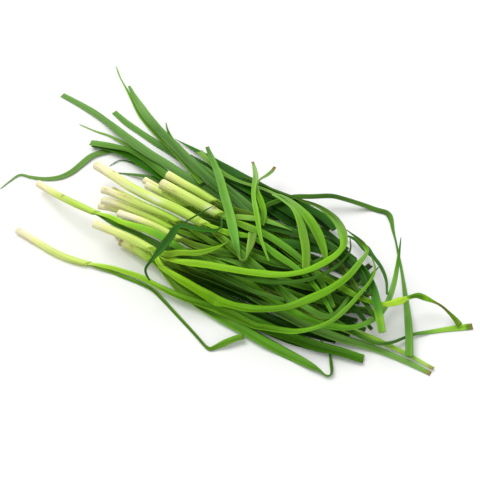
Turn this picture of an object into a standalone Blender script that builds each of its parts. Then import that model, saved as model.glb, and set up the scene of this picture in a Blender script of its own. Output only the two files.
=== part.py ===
"""Cut bunch of garlic chives lying on a surface, in metres with +Z up.

Each plant is a pale round shank that ends in a green sheath, from which flat strap leaves fan out.
Loose leaves lie under and over the plants. A piece's route in plan is given as the photograph
pixels it is seen at. Its height is worked out by laying the pieces one at a time on the pile, from the
lowest to the topmost, so that each rests on those before it and none passes through another.
"""

import bpy
import numpy as np

# Sight: the photograph is 480 pixels square and looks along +Y, down at the table.
PHOTO_SIDE = 480
MM_PER_PIXEL = 0.65
SIGHT_ELEVATION = np.radians(50.0)
SIGHT_DISTANCE = 750.0

# Sizes in millimetres.
LEAF_THICKNESS = 0.8
GAP = 0.5
CELL = 0.6
FIELD_HALF = 200.0
STEP = 1.25
ACROSS_STEP = 1.0

# Where a leaf leaves its shank: depth of its root in the sheath, room between leaves of one plant, and
# lengths over which the leaves part and over which they keep clear of each other.
SHEATH_LENGTH = 13.0
SHEATH_SEAM = 0.4
LEAF_ROOT_DEPTH = 8.0
LEAF_STACK = 1.0
OFFSET_FADE = 9.0
THROAT_FADE = 34.0
OWN_CLEARANCE = 18.0
ROLL_FADE = 12.0
SELF_APART = 14.0

# How stiffly a strip lies: radius it droops with over an edge, and length its height is softened over.
DROOP_RADIUS = 75.0
SOFTEN = 4.0

# How a strip rolls on its bends: its bank grows with curvature times BANK_LENGTH. Where its half width
# times curvature passes the share TIGHT_TURN it stands on edge.
BANK_LENGTH = 14.0
BANK_REACH = 13.0
TURN_REACH = 3.0
TIGHT_TURN = 0.7
PLAN_REACH = 2.5

# Rounds of laying: height and plan place depend on one another through the sight.
LAY_ROUNDS = 7
LAY_SHARE = 0.5
FIRST_HEIGHT = 2.0
SHANK_SAMPLES = 40

# Facets: largest departure from the smooth shape.
FACET_ERROR = 0.2
TUBE_SIDES = 8
SHANK_STATIONS_ERROR = 0.2
LEAST_HALF_WIDTH = 0.5
LOWEST = -1e9
TINY = 1e-6
MM_PER_METRE = 1000.0

# Shares of a leaf's length and width, and the powers that its outline follows.
THROAT_SHARE = 0.16
THROAT_WIDTH = 0.6
THROAT_POWER = 0.7
POINT_SHARE = 0.4
POINT_POWER = 0.65
TAPER_FROM = 0.55
TAPER_LOSS = 0.55
TAPER_POWER = 1.5
CUT_FROM = 0.6
CUT_LOSS = 0.15

SHANK_ROUGHNESS = 0.38
LEAF_ROUGHNESS = 0.45
PALE = (0.80, 0.82, 0.46, 1.0)
LIME = (0.36, 0.55, 0.08, 1.0)
GREEN = (0.12, 0.30, 0.05, 1.0)
DARK = (0.04, 0.13, 0.02, 1.0)
GREY_GREEN = (0.13, 0.25, 0.09, 1.0)


def leaf(route, width=6.5, tip="cut", lean=1.0, swell=((0, 1), (1, 1))):
    """One strap leaf: photograph points (x, y[, lift in mm]), width in mm, tip shape, lean on bends.

    swell gives the width's factor at shares of the leaf's length.
    """
    return {"route": route, "width": width, "tip": tip, "lean": lean, "swell": swell}


def plant(name, width, shank, leaves, colour=GREEN):
    return {"name": name, "width": width, "shank": shank, "leaves": leaves, "colour": colour}


def loose(name, blade, colour=GREEN):
    return {"name": name, "width": 0.0, "shank": [], "leaves": [blade], "colour": colour}


# Pieces in the order they lie, the lowest first.
PIECES = [
    loose("leaf_wavy_tip", leaf([(0, 189), (10, 181), (20, 174.7), (30, 177), (45, 179), (60, 177.5),
                                 (72, 172), (82, 164), (92, 156), (108, 151.5), (125, 151), (145, 163),
                                 (168, 182), (190, 197)], 5.2, "point", 0.3), GREEN),
    loose("leaf_pale_tip", leaf([(79, 124), (95, 131), (110, 136), (130, 147), (152, 161), (178, 180)],
                                2.8, "point"), LIME),
    loose("leaf_dark_tip", leaf([(109, 166), (114, 163), (120, 160), (136, 164), (158, 176), (180, 188)],
                                2.4, "point"), DARK),
    loose("leaf_low_tip", leaf([(112, 172.5), (125, 173.5), (140, 175.5), (156, 179), (180, 190),
                                (205, 205)], 3.8, "point"), DARK),
    loose("leaf_dark_wide", leaf([(93, 144), (115, 150), (130, 157), (145, 166), (158, 174), (185, 192),
                                  (222, 217), (262, 243), (290, 265), (308, 282)], 8.4, "cut"), DARK),
    loose("leaf_blunt", leaf([(90, 143), (108, 146), (130, 151), (145, 159), (160, 171), (180, 187),
                              (200, 203)], 6.6, "cut"), GREEN),
    plant("under_01", 4.8, [(112, 190), (125, 196), (145, 206), (162, 216), (178, 227)], [
        leaf([(204, 248), (240, 268), (280, 288), (318, 303), (350, 312)], 7.6, "taper", 0.3),
        leaf([(205, 243), (242, 259), (284, 276), (324, 291), (360, 303)], 7.6, "taper", 0.3),
        leaf([(206, 239), (246, 250), (290, 264), (332, 279), (370, 296)], 7.6, "taper", 0.3),
        leaf([(206, 235), (248, 242), (294, 253), (338, 269), (374, 290)], 7.4, "taper", 0.3)],
        DARK),
    plant("under_02", 4.8, [(116, 234), (130, 241), (150, 252), (168, 264)], [
        leaf([(190, 285), (220, 305), (255, 325), (290, 341), (318, 350)], 7.2, "taper", 0.3),
        leaf([(192, 281), (224, 298), (262, 316), (300, 331), (336, 342)], 7.6, "taper", 0.3),
        leaf([(193, 277), (228, 290), (270, 307), (312, 323), (350, 336)], 7.6, "taper", 0.3),
        leaf([(194, 272), (232, 282), (278, 298), (324, 314), (366, 330)], 7.4, "taper", 0.3)],
        DARK),
    plant("under_03", 4.8, [(144, 180), (158, 188), (178, 200), (192, 209)], [
        leaf([(216, 226), (250, 234), (292, 242), (330, 254), (362, 276)], 7.4, "taper", 0.3),
        leaf([(217, 221), (252, 225), (294, 232), (332, 244), (356, 260)], 7.6, "taper", 0.3),
        leaf([(217, 216), (252, 215), (290, 220), (324, 232), (348, 250)], 7.6, "taper", 0.3),
        leaf([(216, 210), (246, 204), (278, 206), (306, 214), (330, 230)], 7.4, "taper", 0.3)],
        DARK),
    plant("under_04", 4.6, [(122, 214), (136, 221), (154, 232), (172, 245)], [
        leaf([(198, 268), (236, 288), (276, 308), (314, 323), (346, 334)], 7.6, "taper", 0.3),
        leaf([(200, 263), (240, 280), (282, 298), (322, 312), (358, 321)], 7.4, "taper", 0.3),
        leaf([(201, 258), (244, 272), (290, 287), (334, 301), (374, 315)], 7.4, "taper", 0.3)],
        DARK),
    loose("leaf_top_left", leaf([(62, 95), (78, 103.5), (94, 113), (108, 123), (122, 134.5), (137, 146),
                                 (150, 155), (165, 164), (180, 173.5), (200, 186), (230, 205), (262, 226),
                                 (282, 241), (300, 256), (313, 270)], 7.4, "cut", 1.0,
                                [(0, 0.7), (0.1, 0.85), (0.3, 1), (1, 1)]), GREY_GREEN),
    loose("leaf_second_left", leaf([(114, 112), (126, 122.5), (138, 131), (152, 140.5), (178, 157),
                                    (204, 174), (236, 197), (268, 223), (292, 247), (306, 266)], 6.4, "cut",
                                   1.0, [(0, 0.75), (0.15, 0.9), (0.3, 1), (1, 1)]), GREY_GREEN),
    loose("leaf_thin_point", leaf([(116, 66), (120, 77), (126, 88), (133, 101), (142, 117), (158, 136),
                                   (178, 156), (202, 184)], 3.6, "point", 1.0,
                                  [(0, 0.5), (0.12, 0.6), (0.3, 1.2), (1, 1)]), LIME),
    loose("leaf_fourth_left", leaf([(129, 86), (134, 96), (141.5, 109), (152, 123), (164, 136),
                                    (178, 150), (191, 163.5), (206, 177), (222, 191), (242, 210),
                                    (258, 230), (272, 252), (283, 274)], 7.6, "cut", 1.0,
                                   [(0, 0.35), (0.05, 0.62), (0.12, 1.0), (1, 1.0)]), GREY_GREEN),
    loose("leaf_sprout", leaf([(166, 122), (167, 128), (170, 135), (176, 144)], 1.8, "point"), LIME),
    loose("leaf_rear_low", leaf([(207, 168), (220, 178), (236, 188.5), (255, 200), (275, 212), (296, 226)],
                                8.0, "point"), DARK),
    loose("leaf_rear_wide", leaf([(190, 154), (203, 163), (218, 172), (236, 182), (256, 193), (278, 205),
                                  (300, 220), (318, 238)], 8.4, "point"), DARK),
    loose("leaf_back_rim", leaf([(175, 139), (190, 147), (205, 156), (222, 167), (240, 177),
                                 (262, 189), (285, 200), (306, 209), (322, 218), (336, 230)], 7.8, "point"),
          DARK),
    plant("07", 5.0, [(120, 241.5), (128, 246), (136, 250.5), (144, 255.5), (152, 261)], [
        leaf([(160, 268), (170, 279), (182, 292), (201, 306), (222, 318), (245, 331), (262, 341),
              (285, 353), (305, 363), (319, 370.5), (328, 376), (331.5, 374), (331, 362), (328, 348),
              (319, 339)], 8.8, "point", -1.0,
             [(0, 0.7), (0.12, 1.0), (0.4, 1.0), (0.62, 0.9), (0.78, 0.75), (1, 0.6)]),
        leaf([(164, 270), (190, 288), (225, 308), (262, 326), (285, 335), (315, 346), (342, 353),
              (364, 360)], 8.4)], GREEN),
    plant("04", 4.4, [(98, 206), (108, 207.5), (118, 210), (130, 214), (144, 219), (160, 226),
                      (176, 235)], [
        leaf([(200, 252), (230, 278), (262, 302), (300, 323), (335, 337), (370, 347.5), (400, 359),
              (431, 374)], 7.2, "taper"),
        leaf([(202, 249), (235, 268), (275, 289), (315, 304), (342, 309), (370, 311)], 6.6),
        leaf([(202, 246), (240, 260), (285, 277), (325, 290), (356, 296), (378, 306)], 6.6, "taper")],
        GREEN),
    plant("03", 4.8, [(101, 200.5), (110, 202), (120, 205), (130, 209), (140, 213.5), (150, 218),
                      (160, 223), (172, 229.5)], [
        leaf([(196, 246), (232, 270), (275, 293), (315, 316), (350, 331), (378, 341), (406, 354),
              (434, 369)], 5.8, "taper"),
        leaf([(198, 242), (232, 257), (272, 275), (308, 290), (332, 290), (350, 281), (371, 265)],
             5.4),
        leaf([(200, 239), (238, 249), (284, 266), (322, 284), (350, 304), (372, 330)], 6.4, "taper")],
        DARK),
    plant("02", 4.8, [(102, 192), (110, 194), (120, 198), (130, 202), (140, 206.5), (150, 210.5),
                      (160, 214.5), (170, 219), (180, 224)], [
        leaf([(202, 237), (232, 255), (272, 280), (315, 308), (352, 332), (378, 343.5), (392, 342.5),
              (404, 338), (413, 334.5), (430, 332), (450, 329), (473, 326.5)], 4.6, "cut", 0.0,
             [(0, 1.2), (0.6, 1.0), (0.74, 0.55), (0.8, 0.5), (0.87, 0.8), (0.95, 1.1), (1, 1.15)]),
        leaf([(204, 232), (232, 243), (268, 262), (310, 282), (340, 300), (364, 297)], 6.2)], GREEN),
    loose("leaf_right_kinked", leaf([(258, 210), (276, 202), (293, 197.5), (312, 197), (332, 196.7),
                                     (345, 200), (362, 205.5), (378, 210.5), (387.5, 213.5), (391, 220),
                                     (393, 230), (396, 242), (398.5, 255), (401.5, 270), (404.5, 290),
                                     (407, 310), (409, 335), (409, 357)], 5.4, "cut", 0.0,
                                    [(0, 0.9), (0.2, 0.85), (0.46, 0.8), (0.49, 0.5), (0.55, 0.25),
                                     (0.66, 0.4), (0.76, 0.6), (0.88, 0.9), (1, 1.0)]), GREEN),
    plant("08", 4.2, [(106, 217), (118, 223), (134, 232), (152, 243), (168, 254)], [
        leaf([(190, 270), (215, 280), (248, 293), (285, 303), (318, 306)], 6.8, "taper"),
        leaf([(190, 264), (220, 272), (258, 282), (300, 297), (332, 305)], 6.8, "taper"),
        leaf([(192, 262), (232, 266), (282, 281), (330, 291), (362, 284), (380, 266)], 6.4, "point",
             -1.0)], GREEN),
    plant("05", 4.8, [(118, 213), (130, 217), (140, 220.5), (150, 224.5), (160, 229), (170, 234.5),
                      (182, 241)], [
        leaf([(206, 257), (236, 276), (268, 298), (305, 318), (334, 327), (352, 328), (370, 322),
              (382, 312), (389, 300, 4), (394, 284, 8), (397, 268, 12), (399, 254, 16),
              (401, 237, 22)], 6.6, "point", -1.0),
        leaf([(208, 253), (238, 264), (268, 280), (300, 304), (330, 316), (350, 296), (366, 274)],
             4.6, "point"),
        leaf([(208, 250), (246, 257), (290, 268), (330, 280), (358, 296), (376, 318)], 6.6, "taper")],
        GREEN),
    plant("tall_01", 5.6, [(167, 174.5), (175, 179), (185, 185), (195, 190.5), (205, 196.5), (216, 203)], [
        leaf([(244, 222), (276, 245), (310, 270), (348, 292), (370, 302), (386, 305), (398, 302.5),
              (408, 298.5), (417, 296.5), (428, 300), (437, 304), (442, 307), (449, 313.5), (454, 319),
              (460, 326)], 5.0, "cut", 0.0,
             [(0, 1.2), (0.6, 1.0), (0.7, 0.7), (0.74, 1.05), (0.77, 1.45), (0.795, 1.2), (0.815, 0.7),
              (0.84, 1.2), (0.87, 1.3), (0.895, 0.9), (0.92, 0.45), (0.94, 0.5), (0.97, 1.0), (1, 1.1)]),
        leaf([(242, 218), (264, 228), (286, 241), (304, 257), (318, 276)], 5.6, "taper"),
        leaf([(242, 214), (284, 230), (318, 250), (344, 272), (362, 298)], 6.8, "taper")], LIME),
    plant("tall_03", 4.6, [(146, 185), (155, 189.5), (165, 194.5), (176, 201), (188, 208)], [
        leaf([(212, 223), (252, 237), (300, 246), (340, 258), (362, 272), (373, 290), (378, 312),
              (382, 333)], 6.4, "cut", -1.0),
        leaf([(214, 219), (256, 226), (302, 236), (338, 252), (360, 272), (370, 296)], 6.8, "taper",
             -1.0)], DARK),
    plant("tall_02", 7.0, [(161, 184), (170, 188.5), (180, 194), (190, 199.5), (200, 205), (210, 210),
                           (221, 216)], [
        leaf([(242, 226), (262, 234), (277, 242), (291, 252), (305, 264), (322, 284), (334, 308)],
             6.2, "taper"),
        leaf([(244, 219), (260, 221), (276, 225.5), (293, 232)], 5.6, "point")], GREEN),
    plant("01", 6.2, [(97, 168), (105, 173.5), (115, 180), (125, 186.5), (140, 194.5), (155, 201.5),
                      (170, 208), (190, 217.5), (206, 226)], [
        leaf([(228, 241), (250, 255), (270, 263), (294, 268), (318, 261), (338, 248)], 6.0, "point",
             -1.0),
        leaf([(226, 243), (250, 263), (272, 281), (290, 304)], 6.8, "taper"),
        leaf([(230, 236), (250, 240), (264, 247), (278, 257), (292, 266), (308, 279), (322, 296),
              (332, 314)], 5.2, "taper")], GREEN),
    loose("leaf_back_turned", leaf([(199, 152), (209, 162), (222, 173), (240, 182), (262, 189),
                                    (282, 198), (294, 206), (305, 216), (314, 228), (321, 243),
                                    (325, 256), (327, 268)], 6.2, "taper", 0.5,
                                   [(0, 1.6), (0.15, 1.0), (0.3, 0.45), (0.5, 0.4), (0.6, 0.8), (0.68, 1.1),
                                    (0.82, 1.15), (0.93, 0.8), (1, 0.35)]), LIME),
    loose("leaf_back_down", leaf([(306, 270), (306, 254), (304, 238), (300, 222), (293.5, 210), (284, 202),
                                  (272, 195)], 6.4, "cut", 0.3,
                                 [(0, 1.1), (0.45, 1), (0.62, 0.7), (0.8, 0.4), (1, 0.3)]), LIME),
    plant("stalk_low", 4.4, [(17, 230), (30, 238), (40, 244), (50, 250), (60, 255), (70, 259),
                             (80, 262), (88, 264)], [
        leaf([(98, 267.5), (110, 271.5), (125, 277.5), (140, 283.5), (153, 290.5), (163, 300), (176, 314),
              (190, 329), (201, 341), (207, 347.5), (210, 349), (213.5, 347.8), (225, 343), (235, 339),
              (244, 336.5)], 3.0, "cut", 1.0,
             [(0, 1), (0.3, 0.95), (0.6, 0.85), (0.78, 0.7), (0.84, 1.2), (0.9, 1.8), (1, 2.0)]),
        leaf([(100, 265.5), (112, 268), (125, 272), (140, 277), (155, 285), (178, 296), (205, 305),
              (232, 314), (260, 319), (300, 324), (320, 322), (335, 316.5), (350, 305), (361, 293),
              (370, 282), (375, 270, 3), (371, 256, 6)], 6.0, "point", -1.0,
             [(0, 0.76), (0.18, 0.76), (0.3, 1.0), (1, 1.0)])], LIME),
    plant("stalk_high", 4.6, [(38, 183), (47, 189), (55, 194), (65, 199), (75, 204), (85, 208.5),
                              (96, 213.5)], [
        leaf([(112, 223), (125, 229), (135, 233), (145, 238), (156, 244), (176, 254), (198, 264),
              (222, 276), (252, 290), (285, 300)], 5.0, "taper"),
        leaf([(110, 218), (120, 222), (130, 225.5), (140, 229), (150, 233), (160, 238), (176, 247),
              (200, 260), (222, 269), (252, 279), (288, 283), (318, 277), (338, 265), (350, 251),
              (350, 238)], 5.6, "point", -1.0)], GREEN),
    plant("06", 5.2, [(94, 223.5), (102, 227), (112, 231), (122, 235), (132, 239.5), (142, 244.5),
                      (152, 250)], [
        leaf([(161, 267), (172, 275), (190, 286), (210, 297), (232, 305), (258, 309), (284, 308),
              (308, 300.5), (330, 290), (348, 277), (360, 263, 3), (367, 252, 7), (362, 244, 10),
              (345, 230, 8)], 7.4, "point", -1.0, [(0, 0.75), (0.12, 1), (1, 1)]),
        leaf([(170, 260), (190, 263.5), (210, 266.5), (230, 270), (256, 274), (284, 275.5), (306, 272),
              (324, 264), (337, 255, 3), (344, 246, 7), (343, 235, 10), (336, 222, 9), (322, 210, 6),
              (300, 200), (272, 189), (240, 176)], 6.0, "point", -1.0,
             [(0, 1), (0.62, 1), (0.72, 0.8), (0.82, 0.55), (1, 0.45)]),
        leaf([(166, 255), (178, 254.5), (192, 254), (205, 252), (218, 247.5), (230, 241)],
             5.0, "point")], LIME),
    loose("leaf_thin_arc", leaf([(338, 230), (350, 236), (360, 244), (370, 254), (380, 266), (386, 280),
                                 (387, 295)], 5.6, "point", 1.0,
                                [(0, 1.2), (0.4, 1.1), (0.55, 0.55), (0.8, 0.45), (1, 0.3)]), DARK),
    loose("leaf_front_turned", leaf([(207, 147), (211, 157), (216, 169), (220.5, 184), (225, 200),
                                     (229, 213), (232, 226), (235, 240), (238, 253), (241, 261),
                                     (245, 261), (248, 254), (251, 244), (253, 233)], 6.6, "cut", -1.0,
                                    [(0, 0.5), (0.12, 0.8), (0.3, 1.0), (0.7, 1.0), (0.8, 0.6), (1, 0.9)]),
          GREY_GREEN),
    loose("leaf_fork_side", leaf([(275, 167), (272, 171.5), (267, 175.5), (261, 179.5), (257, 185),
                                  (257, 193), (260, 201), (263, 210), (264, 219), (262, 227)], 4.4,
                                 "cut", 1.0, [(0, 0.6), (0.1, 0.75), (0.22, 0.6), (0.35, 0.6), (0.5, 0.9),
                                              (0.65, 1.1), (0.85, 1.0), (1, 0.6)]), LIME),
    loose("leaf_forked", leaf([(252.5, 163), (254.5, 170), (255.5, 178), (254, 187), (253.5, 195),
                               (254.5, 204), (256.5, 215), (258.5, 227), (260.5, 238), (264, 249),
                               (269, 262)], 4.0, "cut", 1.0,
                              [(0, 0.65), (0.05, 0.9), (0.12, 1.1), (0.22, 1.25), (0.32, 0.85), (0.42, 0.8),
                               (0.52, 1.05), (0.66, 0.95), (0.82, 0.7), (1, 0.3)]), LIME),
    loose("leaf_strap_tip", leaf([(213, 207), (200, 214), (189, 220.5), (178, 227)], 1.3, "point"), DARK),
    loose("leaf_strap", leaf([(221, 216), (221.5, 226), (217, 231), (205, 232), (190, 231),
                              (181, 229.5), (176, 232), (172, 238.5), (165, 247), (158, 255),
                              (151.5, 262), (145.5, 269.5), (146.5, 275), (150, 281)], 6.0, "cut", 0.3,
                             [(0, 0.2), (0.12, 0.3), (0.2, 0.6), (0.4, 0.75), (0.52, 1.0), (0.74, 0.95),
                              (0.85, 0.4), (1, 0.2)]), DARK),
]


def on_table(seen, height):
    """Plan place of points seen at photograph pixels and lying at these heights."""
    across = (seen[:, 0] - PHOTO_SIDE / 2) * MM_PER_PIXEL
    up = (PHOTO_SIDE / 2 - seen[:, 1]) * MM_PER_PIXEL
    rise = np.sin(SIGHT_ELEVATION)
    reach = np.cos(SIGHT_ELEVATION)
    share = (SIGHT_DISTANCE * rise - height) / (SIGHT_DISTANCE * rise - up * reach)
    y = share * (SIGHT_DISTANCE * reach + up * rise) - SIGHT_DISTANCE * reach
    return np.column_stack([share * across, y])


def smooth_route(points, step):
    """Centripetal Catmull-Rom curve through points (x, y, lift), sampled about every step."""
    p = np.vstack([2 * points[0] - points[1], points, 2 * points[-1] - points[-2]])
    chords = np.linalg.norm(np.diff(p[:, :2], axis=0), axis=1)
    t = np.concatenate([[0.0], np.cumsum(np.sqrt(chords))])
    pieces = [p[1:2]]
    for i in range(1, len(p) - 2):
        count = max(2, int(np.ceil(chords[i] / step)))
        s = t[i] + (t[i + 1] - t[i]) * np.arange(1, count + 1)[:, None] / count
        a = [((t[j + 1] - s) * p[j] + (s - t[j]) * p[j + 1]) / (t[j + 1] - t[j]) for j in (i - 1, i, i + 1)]
        b = [((t[j + 2] - s) * a[k] + (s - t[j]) * a[k + 1]) / (t[j + 2] - t[j])
             for k, j in enumerate((i - 1, i))]
        pieces.append(((t[i + 1] - s) * b[0] + (s - t[i]) * b[1]) / (t[i + 1] - t[i]))
    return np.vstack(pieces)


def arc_length(points):
    """Length along a polyline at each of its points."""
    return np.concatenate([[0.0], np.cumsum(np.linalg.norm(np.diff(points, axis=0), axis=1))])


def local_mean(values, s, reach):
    """Mean of the values near each length s, weighted by a raised cosine of this reach."""
    apart = np.abs(s[:, None] - s[None, :])
    weight = np.where(apart < reach, 1.0 + np.cos(np.pi * apart / reach), 0.0) * np.gradient(s)[None, :]
    return (weight @ values) / weight.sum(axis=1)


def settle(bound, s):
    """Heights of a stiff strip resting on the bound: it bridges dips and is never below the bound."""
    apart = s[:, None] - s[None, :]
    bridged = (bound[None, :] - apart**2 / (2.0 * DROOP_RADIUS)).max(axis=1)
    nearby = np.where(np.abs(apart) <= SOFTEN, bridged[None, :], LOWEST).max(axis=1)
    return local_mean(nearby, s, SOFTEN)


def headings(plan, s):
    """Direction in plan at each point, in radians, without jumps."""
    along = np.gradient(plan, axis=0) / np.gradient(s)[:, None]
    return np.unwrap(np.arctan2(along[:, 1], along[:, 0]))


def curvature(plan, s, reach):
    """Turn in plan for each millimetre, smoothed over reach."""
    return np.gradient(local_mean(headings(plan, s), s, reach)) / np.gradient(s)


def bank_angle(plan, s, half, lean):
    """Roll of a flat strip on its bends, in radians: tight bends stand on edge."""
    curve = curvature(plan, s, BANK_REACH)
    gentle = np.arctan(BANK_LENGTH * curve)
    sharp = curvature(plan, s, TURN_REACH)
    room = np.clip(TIGHT_TURN / np.maximum(np.abs(sharp) * half, TINY), 0.0, 1.0)
    tight = np.arccos(room) * np.sign(sharp)
    roll = np.where(np.abs(tight) > np.abs(gentle), tight, gentle)
    return local_mean(lean * roll, s, TURN_REACH * 2)


def narrowed(plan, s, half, roll):
    """Half width that a turn leaves room for: a strip is never wider in plan than its bend."""
    turn = np.abs(curvature(plan, s, TURN_REACH) * np.cos(roll))
    room = np.minimum(half, TIGHT_TURN / np.maximum(turn, TINY))
    apart = np.abs(s[:, None] - s[None, :])
    least = np.where(apart <= TURN_REACH, room[None, :], half.max()).min(axis=1)
    return np.maximum(local_mean(least, s, TURN_REACH), LEAST_HALF_WIDTH)


def leaf_half_width(s, start, blade):
    """Half width along a leaf that starts at start: a narrow throat, a full strap and its tip."""
    share = np.clip((s - start) / (s[-1] - start), 0.0, 1.0)
    swell = np.interp(share, *zip(*blade["swell"]))
    root = THROAT_WIDTH + (1.0 - THROAT_WIDTH) * np.clip(share / THROAT_SHARE, 0.0, 1.0) ** THROAT_POWER
    if start == 0.0:
        root = np.ones_like(share)
        share = 1.0 - share
    if blade["tip"] == "point":
        tip = np.clip((1.0 - share) / POINT_SHARE, 0.0, 1.0) ** POINT_POWER
    elif blade["tip"] == "taper":
        tapered = np.clip((share - TAPER_FROM) / (1.0 - TAPER_FROM), 0.0, 1.0)
        tip = 1.0 - TAPER_LOSS * tapered**TAPER_POWER
    else:
        tip = 1.0 - CUT_LOSS * np.clip((share - CUT_FROM) / (1.0 - CUT_FROM), 0.0, 1.0)
    return np.maximum(blade["width"] / 2 * root * swell * tip, LEAST_HALF_WIDTH)


class Pile:
    """Height of the top of all that has been laid, on a grid in plan."""

    def __init__(self, top=None):
        count = int(2 * FIELD_HALF / CELL)
        self.top = np.full((count, count), -GAP) if top is None else top.copy()

    def cells(self, plan):
        index = np.floor((plan + FIELD_HALF) / CELL).astype(int)
        return np.clip(index, 1, len(self.top) - 2)

    def height(self, plan):
        index = self.cells(plan)
        return self.top[index[:, 0], index[:, 1]]

    def add(self, plan, height):
        index = self.cells(plan)
        for i in (-1, 0, 1):
            for j in (-1, 0, 1):
                np.maximum.at(self.top, (index[:, 0] + i, index[:, 1] + j), height)


def sideways(plan, s):
    """Level direction square to the line, to its left."""
    angle = headings(plan, s)
    return np.column_stack([-np.sin(angle), np.cos(angle)])


def section_samples(line):
    """Points across each section: plan place, rise of the middle surface there and half depth."""
    left = sideways(line["plan"], line["s"])
    count = int(np.ceil(2 * line["half"].max() / ACROSS_STEP)) + 1
    for share in np.linspace(-1.0, 1.0, count):
        offset = share * line["half"]
        flat = offset * np.cos(line["roll"])
        rise = offset * np.sin(line["roll"])
        tube = np.sqrt(np.maximum(line["tube"] ** 2 - offset**2, 0.0))
        depth = np.where(line["tube"] > 0, tube, LEAF_THICKNESS / 2)
        yield line["plan"] + flat[:, None] * left, rise, depth


def resting_bound(line, pile):
    """Least height of a line's middle that keeps it a gap above the pile."""
    bound = np.full(len(line["s"]), LOWEST)
    for plan, rise, depth in section_samples(line):
        bound = np.maximum(bound, pile.height(plan) + GAP + depth - rise)
    return bound


def own_bound(line, height):
    """Where a strip comes back over itself, its later part lies on its earlier part."""
    plan, s = line["plan"], line["s"]
    deep = line["half"] * np.abs(np.sin(line["roll"])) + LEAF_THICKNESS / 2 + line["tube"]
    apart = np.linalg.norm(plan[:, None, :] - plan[None, :, :], axis=2)
    reach = line["half"] * np.cos(line["roll"])
    meets = (s[:, None] - s[None, :] > SELF_APART) & (apart < reach[:, None] + reach[None, :] + CELL)
    return np.where(meets, (height + deep)[None, :] + GAP + deep[:, None], LOWEST).max(axis=1)


def lay_line(seen, shank_count, shank_width, blade, pile, along_pile, shank_floor):
    """Lay one shank and leaf as one line: find its plan and heights so it is seen at its pixels.

    shank_floor gives the least heights at even shares of the shank's length.
    """
    route = smooth_route(seen, STEP / MM_PER_PIXEL)
    joint = np.argmin(np.linalg.norm(route[:, :2] - seen[max(shank_count - 1, 0), :2], axis=1))
    height = np.full(len(route), FIRST_HEIGHT)
    for turn in range(LAY_ROUNDS):
        plan = on_table(route, height)
        s = arc_length(plan)
        plan = np.column_stack([local_mean(plan[:, k], s, PLAN_REACH) for k in (0, 1)])
        s = arc_length(plan)
        start = s[joint] if shank_count else 0.0
        half = leaf_half_width(s, start, blade)
        roll = bank_angle(plan, s, half, blade["lean"])
        half = np.minimum(half, narrowed(plan, s, half, roll))
        in_shank = s < start
        if shank_count:
            roll = roll * np.clip((s - start) / ROLL_FADE, 0.0, 1.0)
        line = {"plan": plan, "s": s, "start": start, "roll": roll,
                "half": np.where(in_shank, shank_width / 2, half),
                "tube": np.where(in_shank, shank_width / 2, 0.0)}
        bound = resting_bound(line, pile)
        if shank_floor is not None:
            shares = np.linspace(0.0, 1.0, len(shank_floor))
            least = np.interp(s / start, shares, shank_floor)
            bound = np.where(in_shank, np.maximum(bound, least), bound)
        beyond = s > start + OWN_CLEARANCE
        bound = np.where(beyond, np.maximum(bound, resting_bound(line, along_pile)), bound)
        bound = np.maximum(bound, route[:, 2] + LEAF_THICKNESS / 2)
        bound = np.maximum(bound, own_bound(line, height))
        found = settle(bound, s)
        height = found if turn == LAY_ROUNDS - 1 else height + LAY_SHARE * (found - height)
    line["z"] = height
    return line


def write_top(line, pile, after):
    """Raise the pile to the top of a line beyond a length along it."""
    keep = line["s"] >= after
    for plan, rise, depth in section_samples(line):
        pile.add(plan[keep], (line["z"] + rise + depth)[keep])


def lay_piece(piece, pile):
    """Lay a plant or a loose leaf; returns its lines, with the shank shared by its leaves.

    A plant is laid twice: the second time its shank starts at the height that its highest leaf needs.
    """
    shank = [(x, y, 0.0) for x, y in piece["shank"]]
    floor = None
    for turn in range(2 if shank else 1):
        along_pile = Pile(pile.top)
        lines = []
        for blade in piece["leaves"]:
            points = [tuple(p) + (0.0,) * (3 - len(p)) for p in blade["route"]]
            seen = np.array(shank + points)
            line = lay_line(seen, len(shank), piece["width"], blade, pile, along_pile, floor)
            write_top(line, along_pile, line["start"] + OWN_CLEARANCE if shank else 0.0)
            lines.append(line)
        if shank:
            floor = shank_heights(lines)
    if shank:
        share_shank(lines)
    for line in lines:
        write_top(line, pile, 0.0)
    return lines


def shank_heights(lines):
    """Highest of the lines' heights at even shares of their shank."""
    shares = np.linspace(0.0, 1.0, SHANK_SAMPLES)
    return np.max([np.interp(shares * line["start"], line["s"], line["z"]) for line in lines], axis=0)


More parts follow.
